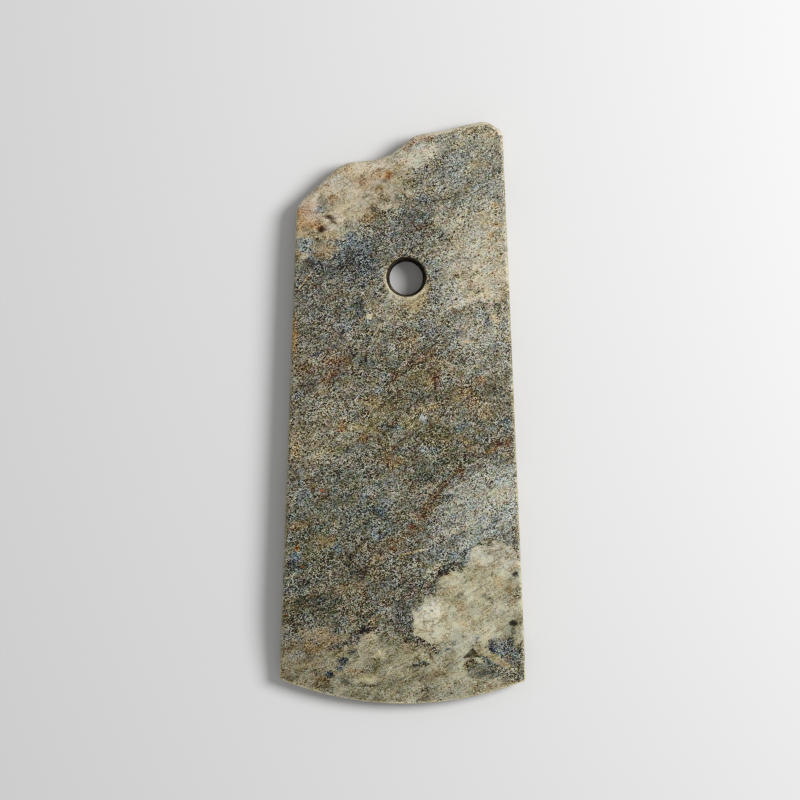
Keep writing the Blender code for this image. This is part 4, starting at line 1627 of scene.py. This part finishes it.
    ("brown_dot_low", 12.1, 33.1, 0.7, 0.46, 0, (116, 92, 62), 0.72, 0.65, 0.1),
    ("blue_streak_foot", -26.3, 18.1, 2.8, 0.4, 14, (81, 88, 84), 0.75),
    ("dark_step_head", 19.2, -42.8, 0.5, 1.5, 0, (81, 80, 71), 0.7),
    ("wisp_brown", 14.0, -54.7, 2.8, 0.92, 25, (140, 118, 87), 0.48, 0.65, 0.6),
    ("wisp_middle", 17.1, -59.0, 2.2, 1.4, -30, (130, 105, 65), 0.52, 0.65, 0.7),
    ("wisp_olive", 8.8, -63.7, 4.6, 0.37, 14, (128, 121, 89), 0.52, 0.65, 0.7),
    ("rust_mark", 18.0, -60.9, 0.9, 0.46, 0, (138, 106, 70), 0.64, 0.65, 0.6),
    ("rust_mark_low", 19.2, -65.2, 0.7, 0.43, 0, (148, 110, 72), 0.64, 0.65, 0.6),
    ("wisp_low", 20.7, -64.9, 4.9, 1.2, -28, (122, 110, 80), 0.36, 0.65, 0.7),
    ("wisp_high", 26.3, -49.5, 1.5, 2.5, 20, (132, 117, 93), 0.4, 0.65, 0.6),
    ("brown_high", 30.3, -52.3, 1.4, 1.4, 0, (172, 150, 113), 0.52, 0.65, 0.6),
    ("brown_thin", 32.9, -54.7, 0.5, 1.2, 0, (139, 107, 73), 0.68, 0.65, 0.5),
    ("brown_low", 33.6, -58.4, 1.4, 0.92, 20, (126, 103, 74), 0.6, 0.65, 0.5),
    ("grey_smudge", 26.0, -56.6, 2.2, 0.61, -25, (110, 111, 101), 0.75, 0.5, 0.6),
    ("grey_wash", 30.0, -61.8, 2.8, 2.2, 30, (158, 156, 136), 0.65, 0.6, 0.7),
    ("red_by_ring", 34.9, -47.1, 1.0, 0.61, 20, (122, 88, 62), 0.6, 0.65, 0.3),
    ("grey_edge", 35.8, -55.4, 1.1, 1.7, -20, (105, 99, 84), 0.75, 0.5, 0.3),
    ("green_dot", 34.0, -67.0, 0.7, 1, 0, (72, 73, 60), 0.75, 0.5, 0.2),
    ("blue_fleck_crisp", 15.8, -70.7, 0.9, 0.46, 40, (123, 128, 131), 0.8, 0.5, 0.3),
    ("blue_fleck_low_crisp", 14.0, -72.7, 1.0, 0.4, 15, (96, 101, 105), 0.85, 0.5, 0.2),
    ("dark_fleck", 23.0, -69.8, 0.3, 1.2, -10, (95, 96, 93), 0.75, 0.5, 0.2),
    ("dark_bottom", 6.6, -76.9, 1.4, 0.43, 0, (55, 55, 49), 0.8),
    ("dark_bottom_right", 16.4, -83.6, 0.4, 0.68, 0, (83, 82, 71), 0.75, 0.5, 0.2),
    ("rust_edge", -31.2, -83.8, 1.0, 0.4, -20, (138, 92, 60), 0.6, 0.65, 0.3),
)

# Broad zones of the back face's speckled stone.
BACK_ZONES = patches(
    ("crest", 20.7, 80.8, 13.5, 6.1, -8, (138, 134, 118), 0.9, 0.5, 0.1),
    ("dark_band", 0.2, 59.9, 18.4, 4.9, 35, (100, 99, 90), 0.9),
    ("dark_band_right", -17.7, 47.6, 13.5, 6.1, 12, (96, 96, 88), 0.9),
    ("left_pale", 23.8, 43.9, 11.1, 12, 10, (158, 151, 131), 0.9, 0.4, 0.3),
    ("below_hole", 2.3, 30.1, 12.3, 3.7, -5, (134, 127, 107), 0.8),
    ("waist_right", -23.8, 28.5, 10.4, 10, 0, (106, 103, 91), 0.9),
    ("rust_cloud_right", -20.7, 13.2, 9.2, 5.2, 20, (110, 98, 80), 1),
    ("rust_cloud_middle", 7.5, 15.6, 7.4, 3.7, 12, (108, 97, 77), 0.9),
    ("middle", 0.8, -0.7, 14.1, 11, 20, (106, 101, 83), 0.9),
    ("left_middle", 25.4, 2.4, 10.4, 9.2, 10, (120, 113, 94), 0.9),
    ("right_low", -25.0, -5.3, 9.8, 11, 0, (122, 116, 97), 0.9),
    ("olive_low", -13.1, -30.5, 12.9, 12, 20, (102, 101, 87), 1),
    ("dusk", -28.1, -45.2, 8.0, 12, 0, (94, 91, 77), 1),
    ("foot", -23.8, -61.2, 11.1, 5.5, 0, (88, 86, 73), 1),
    ("blue_left", 26.0, -28.3, 12.3, 10, 30, (144, 143, 130), 1, 0.3, 0.1),
    ("blue_middle", -5.4, -54.4, 13.5, 6.8, 20, (112, 114, 106), 0.8),
)

# Smooth pale regions of the back face.
BACK_CREAMS = patches(
    ("butt_pale", -16.1, 66.9, 13.5, 7.4, 25, (172, 160, 134), 1, 0.4, 0.85),
    ("cream", 22.3, -60.6, 13.5, 9.2, 10, (164, 158, 134), 1, 0.15, 0.9),
    ("cream_tail", 9.4, -67.3, 7.4, 4.9, 0, (168, 161, 137), 1, 0.2, 0.85),
    ("edge_left", 22.3, -79.6, 15.4, 7.4, -8, (132, 126, 102), 1, 0.3, 0.6),
    ("edge_right", -14.6, -80.9, 24.6, 8.6, 4, (128, 121, 98), 1, 0.3, 0.65),
)

# Stains of the back face, the lowest first.
BACK_SPOTS = patches(
    ("rust_a", 22.3, -9.9, 3.1, 1.1, 25, (122, 84, 54), 0.6, 0.7),
    ("rust_b", 17.7, -13.0, 2.8, 0.92, 30, (110, 76, 48), 0.6, 0.7),
    ("rust_c", 12.4, -16.9, 3.1, 1, 40, (118, 80, 50), 0.6, 0.7),
    ("rust_d", 7.5, -21.9, 2.8, 1.1, 45, (112, 72, 46), 0.6, 0.7),
    ("rust_e", 3.2, -26.8, 2.8, 1.2, 38, (108, 72, 48), 0.5, 0.7),
    ("rust_f", -1.7, -32.0, 3.1, 1.4, 20, (114, 80, 56), 0.45, 0.7),
    ("rust_cloud", -20.7, 4.0, 3.7, 2.5, 0, (132, 104, 68), 0.5, 0.7),
    ("orange_edge", -30.0, 58.7, 1.5, 3.7, 0, (166, 128, 84), 0.6, 0.6, 0.5),
    ("orange_spot", -25.0, 60.5, 2.5, 1.5, 10, (164, 122, 78), 0.6, 0.6, 0.5),
    ("grey_blue", -20.7, 56.8, 2.8, 1.5, 20, (128, 134, 132), 0.6, 0.6, 0.4),
    ("blue_by_hole", -0.8, 50.0, 4.3, 1.8, 50, (86, 94, 100), 0.6, 0.6),
    ("blue_waist", 16.1, 25.5, 2.8, 1.5, -40, (92, 98, 100), 0.6, 0.6),
    ("pale_middle", -5.4, -8.3, 2.5, 1.5, 0, (160, 158, 146), 0.6, 0.6, 0.2),
    ("pale_left", 14.6, 5.5, 2.2, 1.2, -20, (156, 154, 142), 0.6, 0.6, 0.2),
    ("dark_foot", -30.0, -69.8, 2.5, 1.2, -10, (70, 68, 58), 0.6),
    ("dark_by_cream", 5.4, -57.5, 3.7, 2.5, 30, (84, 84, 78), 0.6),
    ("brown_middle", -11.5, 20.9, 3.7, 1.5, 25, (100, 76, 56), 0.5, 0.7),
    ("ochre_right", -30.0, -20.6, 2.5, 1.5, 0, (132, 108, 72), 0.5, 0.7),
    ("white_left", 24.7, -57.5, 3.7, 2.5, -20, (188, 182, 160), 0.7, 0.6, 0.9),
    ("white_low", 16.8, -64.3, 3.1, 1.8, 10, (186, 180, 158), 0.7, 0.6, 0.9),
)

# Small crisp marks on the front face.
MARKS = patches(
    ("pits_upper", -22.6, 60.2, 1.8, 0.61, -12, (62, 44, 28), 0.85, 0.75, 0.5),
    ("pits_lower", -25.4, 56.5, 1.3, 0.8, 10, (66, 44, 28), 0.85, 0.75, 0.5),
    ("pits_right", -21.1, 58.7, 1.2, 0.46, -35, (70, 54, 36), 0.85, 0.75, 0.5),
    ("pale_crack", -14.0, 68.8, 4.9, 0.31, 12, (205, 190, 160), 0.5, 0.5, 0.8),
    ("dark_dot", 29.8, 74.0, 0.5, 0.49, 0, (52, 51, 47), 0.95, 0.4, 0.5),
    ("pale_blob", -10.3, 29.6, 1.3, 1, -10, (205, 192, 158), 0.75, 0.55, 0.8),
    ("pale_drop", 28.3, 29.1, 2.0, 0.86, -62, (198, 186, 154), 0.75, 0.55, 0.8),
    ("dark_line", -8.1, 28.4, 4.0, 0.34, -2, (86, 84, 78), 0.85, 0.4, 0.5),
    ("pit_dark", -12.1, 38.8, 0.5, 0.55, 0, (37, 35, 30), 0.95, 0.4, 0.5),
    ("scratch_pale", -30.1, 40.5, 3.4, 0.25, 50, (178, 150, 116), 0.8, 0.4, 0.3),
    ("scratch_dark", -29.7, 40.2, 3.1, 0.22, 50, (61, 53, 44), 0.75, 0.4, 0.5),
    ("blue_streak", -18.3, 24.5, 1.4, 0.55, 50, (63, 67, 72), 0.85, 0.5, 0.5),
    ("blue_streak_low", -21.1, 20.5, 1.1, 0.49, 40, (68, 71, 72), 0.85, 0.5, 0.5),
    ("pale_line", 20.1, 21.9, 2.8, 0.25, 0, (192, 178, 152), 0.75, 0.4, 0.4),
    ("pale_line_low", 21.0, 14.1, 3.1, 0.25, 2, (184, 172, 146), 0.65, 0.4, 0.4),
    ("red_dot", 0.6, 22.8, 0.6, 0.4, 0, (88, 50, 30), 0.9, 0.4, 0.5),
    ("red_dot_left", -24.7, -23.9, 0.5, 0.52, 0, (130, 58, 28), 0.75, 0.4, 0.5),
    ("red_dot_edge", -35.7, -62.1, 0.5, 0.46, 0, (110, 50, 26), 0.75, 0.4, 0.5),
    ("olive_pit", -6.9, -36.5, 0.7, 0.86, 0, (64, 54, 28), 0.95, 0.4, 0.5),
    ("amber", -32.4, -41.8, 0.8, 0.98, 0, (126, 88, 28), 0.97, 0.4, 0.3),
    ("amber_low", -30.6, -47.4, 0.5, 0.46, 0, (94, 52, 22), 0.9, 0.4, 0.5),
    ("black_spot", -16.8, -10.8, 0.4, 0.43, 0, (42, 40, 36), 0.9, 0.4, 0.5),
    ("pale_ridge", 3.5, -42.8, 4.3, 0.34, 12, (190, 176, 140), 0.75, 0.4, 0.3),
    ("dark_step", 16.7, -46.3, 3.7, 0.55, 12, (64, 62, 56), 0.7, 0.5, 0.5),
    ("wisp_dark", 11.8, -54.1, 3.1, 0.25, 5, (92, 88, 78), 0.7, 0.5, 0.5),
    ("ring_shadow", 34.6, -49.8, 0.9, 0.8, 0, (49, 45, 39), 0.85, 0.5, 0.5),
    ("black_dot", 34.0, -64.7, 1.3, 0.86, 0, (44, 44, 38), 0.9, 0.45, 0.5),
    ("ring_pit", 9.1, -60.8, 0.5, 0.46, 0, (95, 83, 74), 0.7, 0.4, 0.5),
    ("pale_strip", 28.1, -75.3, 6.5, 1.3, -33, (174, 165, 132), 0.97, 0.25, 0.8),
    ("black_stem", -16.0, -69.5, 0.4, 1.2, 0, (41, 38, 32), 0.9, 0.5, 0.5),
    ("arc_dark", -11.2, -84.2, 3.7, 0.28, 0, (88, 83, 69), 0.85, 0.5, 0.3),
    ("streak_bottom", 5.8, -81.8, 1.0, 0.34, 45, (58, 58, 54), 0.9, 0.45, 0.5),
    ("crack_corner", 26.6, -84.2, 1.4, 0.25, -55, (116, 96, 70), 0.7, 0.5, 0.3),
)

# Straight-sided dark inclusions beside the edge's right corner.
SPLINTERS = (
    Splinter("dark_triangle", ((21.7, -72.3), (18.3, -75.5), (23.9, -75.3)), (72, 70, 56), 0.92, 0.8),
    Splinter("dark_wedge", (
        (23.8, -76.9), (19.8, -78.7), (20.4, -81.5), (26.3, -82.4), (31.2, -80.9), (28.1, -78.1),
    ), (104, 106, 94), 0.75, 0.35),
)

# Brown wisps, and thin dark cracks.
WISPS = (
    Wisp(Cloud(6.0, 5.0, 0.68), 0.045, 0.5, (138, 122, 92)),
    Wisp(Cloud(8.5, 5.0, 0.68), 0.012, 0.55, (96, 88, 68)),
    Wisp(Cloud(3.5, 5.0, 0.68), 0.02, 0.3, (138, 122, 92)),
)


@dataclass
class AxeBlade:
    """The one piece: the whole stone."""

    plan: BladePlan = field(default_factory=BladePlan)
    columns: int = 124
    rows: int = 280
    arris_steps: int = 6
    rim_steps: int = 6
    hole_block: int = 17
    hole_ring_steps: int = 9
    hole_ring_growth: float = 1.25
    inward_smoothing: float = 2.4
    fracture_reach: float = 2.2 * MM
    weathering: Weathering = field(default_factory=Weathering)
    section: BladeSection = field(init=False)
    hole: LashingHole = field(init=False)

    def __post_init__(self) -> None:
        """Works out the section and the hole from the plan."""
        self.section = BladeSection(self.plan)
        self.hole = LashingHole(self.plan)

    def rim_rings(self) -> np.ndarray:
        """Shapes the rim of the blade.

        Returns:
            Rings of points round the blade, from the front face's border to the back face's.
        """
        outline = self.plan.ring(self.columns, self.rows)
        along = unit(np.roll(outline, -1, axis=0) - np.roll(outline, 1, axis=0))
        inward = np.stack([along[:, 1], -along[:, 0]], axis=-1)
        inward = unit(smooth_ring(inward, self.inward_smoothing))
        front = self.section.arris(outline, inward, Face.FRONT, self.arris_steps)
        back = self.section.arris(outline, inward, Face.BACK, self.arris_steps)[::-1]
        walls = []
        for share in np.linspace(0.0, 1.0, self.rim_steps + 1)[1:-1]:
            ring = blend(front[-1], back[0], share)
            out = (ring[:, :2] - outline) * (1.0 - 4 * share * (1 - share))
            walls.append(np.column_stack([outline + out, ring[:, 2]]))
        return np.concatenate([front, np.array(walls), back])

    def face_plan(self, border: np.ndarray) -> np.ndarray:
        """Spreads a grid of plan points over a face.

        Args:
            border: Plan points of the face's border, clockwise from the butt's left end.

        Returns:
            rows + 1 by columns + 1 plan points, from the butt to the cutting edge.
        """
        columns, rows = self.columns, self.rows
        butt = border[: columns + 1]
        right = border[columns : columns + rows + 1]
        cutting = border[columns + rows : 2 * columns + rows + 1][::-1]
        left = np.concatenate([border[2 * columns + rows :], border[:1]])[::-1]
        down = np.linspace(0.0, 1.0, rows + 1)[:, None, None]
        across = np.linspace(0.0, 1.0, columns + 1)[None, :, None]
        ends = blend(butt[None], cutting[None], down) + blend(left[:, None], right[:, None], across)
        corners = blend(blend(butt[0], butt[-1], across), blend(cutting[0], cutting[-1], across), down)
        return ends - corners

    def border_numbers(self, ring: np.ndarray) -> np.ndarray:
        """Numbers the border of a face's grid.

        Args:
            ring: Point numbers of the border, clockwise from the butt's left end.

        Returns:
            A grid of point numbers, with -1 inside the border.
        """
        columns, rows = self.columns, self.rows
        grid = np.full((rows + 1, columns + 1), -1)
        grid[0] = ring[: columns + 1]
        grid[:, -1] = ring[columns : columns + rows + 1]
        grid[-1] = ring[columns + rows : 2 * columns + rows + 1][::-1]
        grid[:, 0] = np.concatenate([ring[2 * columns + rows :], ring[:1]])[::-1]
        return grid

    def block_border(self, block: np.ndarray) -> np.ndarray:
        """The border of a square block of a grid, clockwise from its top left."""
        return np.concatenate([block[0, :-1], block[:-1, -1], block[-1, :0:-1], block[:0:-1, 0]])

    def hole_place(self, plan: np.ndarray) -> tuple[slice, slice]:
        """Finds the square block of a face's grid that the hole is cut into.

        Args:
            plan: Grid of the face's plan points.

        Returns:
            The block's rows and columns.
        """
        offset = length_of(plan - self.hole.centre)
        row, column = np.unravel_index(np.argmin(offset), offset.shape)
        reach = self.hole_block
        return slice(row - reach, row + reach + 1), slice(column - reach, column + reach + 1)

    def add_hole(self, made: QuadMesh, around: np.ndarray) -> np.ndarray:
        """Adds the hole's wall.

        Args:
            made: The mesh in the making.
            around: Plan points round the hole, one for each column of its wall.

        Returns:
            Point numbers of the wall's rings, from the front face to the back face.
        """
        bearings = unit(around - self.hole.centre)
        front, back = (
            self.section.face_z(self.hole.centre + bearings * (radius + self.hole.rim), face)
            for face, radius in (
                (Face.FRONT, self.hole.front_radius), (Face.BACK, self.hole.back_radius))
        )
        wall = made.add(self.hole.rings(bearings, front, back))
        made.weave(wall, closed=True)
        return wall

    def add_face(
        self, made: QuadMesh, face: Face, plan: np.ndarray, block: tuple[slice, slice],
        border: np.ndarray, mouth: np.ndarray,
    ) -> None:
        """Adds a face between its border and the hole's mouth.

        Args:
            made: The mesh in the making.
            face: The face.
            plan: Grid of the face's plan points.
            block: The rows and columns that the hole is cut into.
            border: Point numbers of the face's border.
            mouth: Point numbers of the hole's mouth.
        """
        rows, columns = block
        grid = self.border_numbers(border)
        free = grid < 0
        free[rows.start + 1 : rows.stop - 1, columns.start + 1 : columns.stop - 1] = False
        grid[free] = made.add(np.dstack([plan, self.section.face_z(plan, face)])[free])
        gap = np.zeros((self.rows, self.columns), dtype=bool)
        gap[rows.start : rows.stop - 1, columns.start : columns.stop - 1] = True
        made.weave(grid, skip=gap)
        outer = self.block_border(plan[block])
        inner = np.concatenate(made.points)[mouth][:, :2]
        shares = np.linspace(0.0, 1.0, self.hole_ring_steps + 1)[1:-1] ** self.hole_ring_growth
        rings = np.array([blend(inner, outer, share) for share in shares])
        between = made.add(np.dstack([rings, self.section.face_z(rings, face)]))
        last = self.block_border(grid[block])
        made.weave(np.concatenate([mouth[None], between, last[None]]), closed=True)

    def shaped(self) -> bpy.types.Mesh:
        """Shapes the stone before it is weathered.

        Returns:
            A closed mesh with the attributes margin and fracture.
        """
        made = QuadMesh()
        rim = self.rim_rings()
        numbers = made.add(rim)
        made.weave(numbers, closed=True)
        front, back = self.face_plan(rim[0, :, :2]), self.face_plan(rim[-1, :, :2])
        block = self.hole_place(front)
        wall = self.add_hole(made, self.block_border(front[block]))
        self.add_face(made, Face.FRONT, front, block, numbers[0], wall[0])
        self.add_face(made, Face.BACK, back, block, numbers[-1], wall[-1])
        mesh = made.mesh("axe_blade_stone")
        self.mark(mesh)
        return mesh

    def mark(self, mesh: bpy.types.Mesh) -> None:
        """Writes how far each point is from the outline, and how much it belongs to the break.

        Args:
            mesh: The mesh, which gets the attributes margin and fracture.
        """
        outline = self.plan.ring(self.columns, self.rows)
        share = self.plan.break_share(outline, self.section.reliefs[Face.FRONT].break_arris)
        finder = kdtree.KDTree(len(outline))
        for number, point in enumerate(outline):
            finder.insert((*point, 0.0), number)
        finder.balance()
        front, back = (self.section.face_z(outline, face) for face in (Face.FRONT, Face.BACK))
        margins, fractures = [], []
        for vertex in mesh.vertices:
            _, nearest, distance = finder.find((vertex.co.x, vertex.co.y, 0.0))
            sunk = min(front[nearest] - vertex.co.z, vertex.co.z - back[nearest])
            margins.append(distance + max(0.0, sunk - self.section.side_arris))
            fractures.append(share[nearest] * math.exp(-((distance / self.fracture_reach) ** 2)))
        for name, values in (("margin", margins), ("fracture", fractures)):
            mesh.attributes.new(name, "FLOAT", "POINT").data.foreach_set("value", values)

    def build(self, finish: bpy.types.Material, painter: StonePainter) -> None:
        """Makes the blade, which stands for the CAD solid.

        Args:
            finish: The stone's material.
            painter: Paints the stone's soft patches.
        """
        mesh = self.shaped()
        painter.paint(mesh)
        blade = bpy.data.objects.new("axe_blade_stone", mesh)
        bpy.context.scene.collection.objects.link(blade)
        self.weathering.apply(blade, finish)
        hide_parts("axe_blade")
        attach(blade, "root")
        LOG.info("%s: %d quads", blade.name, len(blade.data.polygons))


@dataclass
class PhotoStudio:
    """A plain pale floor, soft daylight from the right, and a camera straight overhead."""

    floor_half_width: float = 1.5
    floor_drop: float = 0.0001
    floor_light: float = 0.80
    floor_roughness: float = 0.9
    floor_specular: float = 0.1
    ambient: float = 0.36
    key_power: float = 7.4
    key_size: float = 0.45
    key_distance: float = 0.9
    key_turn: float = 18.0
    key_rise: float = 42.0
    camera_place: tuple[float, float, float] = (-0.00077, 0.00395, 0.74425)
    camera_lens: float = 107.7
    camera_sensor: float = 36.0
    pixel_blur: float = 1.1

    def floor(self) -> None:
        """Lays the floor."""
        half = self.floor_half_width
        mesh = bpy.data.meshes.new("studio_floor")
        corners = [(-half, -half), (half, -half), (half, half), (-half, half)]
        mesh.from_pydata([(x, y, -self.floor_drop) for x, y in corners], [], [(0, 1, 2, 3)])
        floor = bpy.data.objects.new("studio_floor", mesh)
        paper = bpy.data.materials.new("pale_paper")
        paper.use_nodes = True
        shader = paper.node_tree.nodes["Principled BSDF"]
        shader.inputs["Base Color"].default_value = (self.floor_light,) * 3 + (1.0,)
        shader.inputs["Roughness"].default_value = self.floor_roughness
        shader.inputs["Specular IOR Level"].default_value = self.floor_specular
        mesh.materials.append(paper)
        bpy.context.scene.collection.objects.link(floor)

    def key(self) -> None:
        """Hangs the soft key light, which shines on the middle of the blade."""
        lamp = bpy.data.lights.new("key", "AREA")
        lamp.shape = "DISK"
        lamp.size = self.key_size
        lamp.energy = self.key_power
        light = bpy.data.objects.new("key", lamp)
        turn, rise = math.radians(self.key_turn), math.radians(self.key_rise)
        toward = Vector((math.cos(turn) * math.cos(rise), math.sin(turn) * math.cos(rise), math.sin(rise)))
        light.location = toward * self.key_distance
        light.rotation_euler = toward.to_track_quat("Z", "Y").to_euler()
        bpy.context.scene.collection.objects.link(light)

    def sky(self) -> None:
        """Sets the even light from all round."""
        world = bpy.data.worlds.new("studio_world")
        world.use_nodes = True
        background = world.node_tree.nodes["Background"]
        background.inputs["Color"].default_value = (1.0, 1.0, 1.0, 1.0)
        background.inputs["Strength"].default_value = self.ambient
        bpy.context.scene.world = world

    def camera(self) -> None:
        """Hangs the camera, which looks straight down with +Y at the top of the picture."""
        data = bpy.data.cameras.new("camera")
        data.lens = self.camera_lens
        data.sensor_width = self.camera_sensor
        camera = bpy.data.objects.new("camera", data)
        camera.location = self.camera_place
        bpy.context.scene.collection.objects.link(camera)
        bpy.context.scene.camera = camera

    def build(self) -> None:
        """Sets up the whole studio."""
        self.floor()
        self.key()
        self.sky()
        self.camera()
        bpy.context.scene.view_settings.view_transform = "Standard"
        bpy.context.scene.cycles.filter_width = self.pixel_blur
        bpy.context.scene.cycles.denoising_prefilter = "NONE"
        LOG.info("studio: floor, key light, even light and camera")


def main() -> None:
    """Builds the blade and the studio."""
    logging.basicConfig(level=logging.INFO, format="%(name)s: %(message)s")
    blade = AxeBlade()
    finish = JadeFinish(MARKS, SPLINTERS, WISPS, blade.hole)
    front = FacePaint(FRONT_ZONES, FRONT_CREAMS, FRONT_SPOTS)
    back = FacePaint(BACK_ZONES, BACK_CREAMS, BACK_SPOTS)
    blade.build(finish.material(), StonePainter(front, back))
    PhotoStudio().build()


if __name__ == "__main__":
    main()
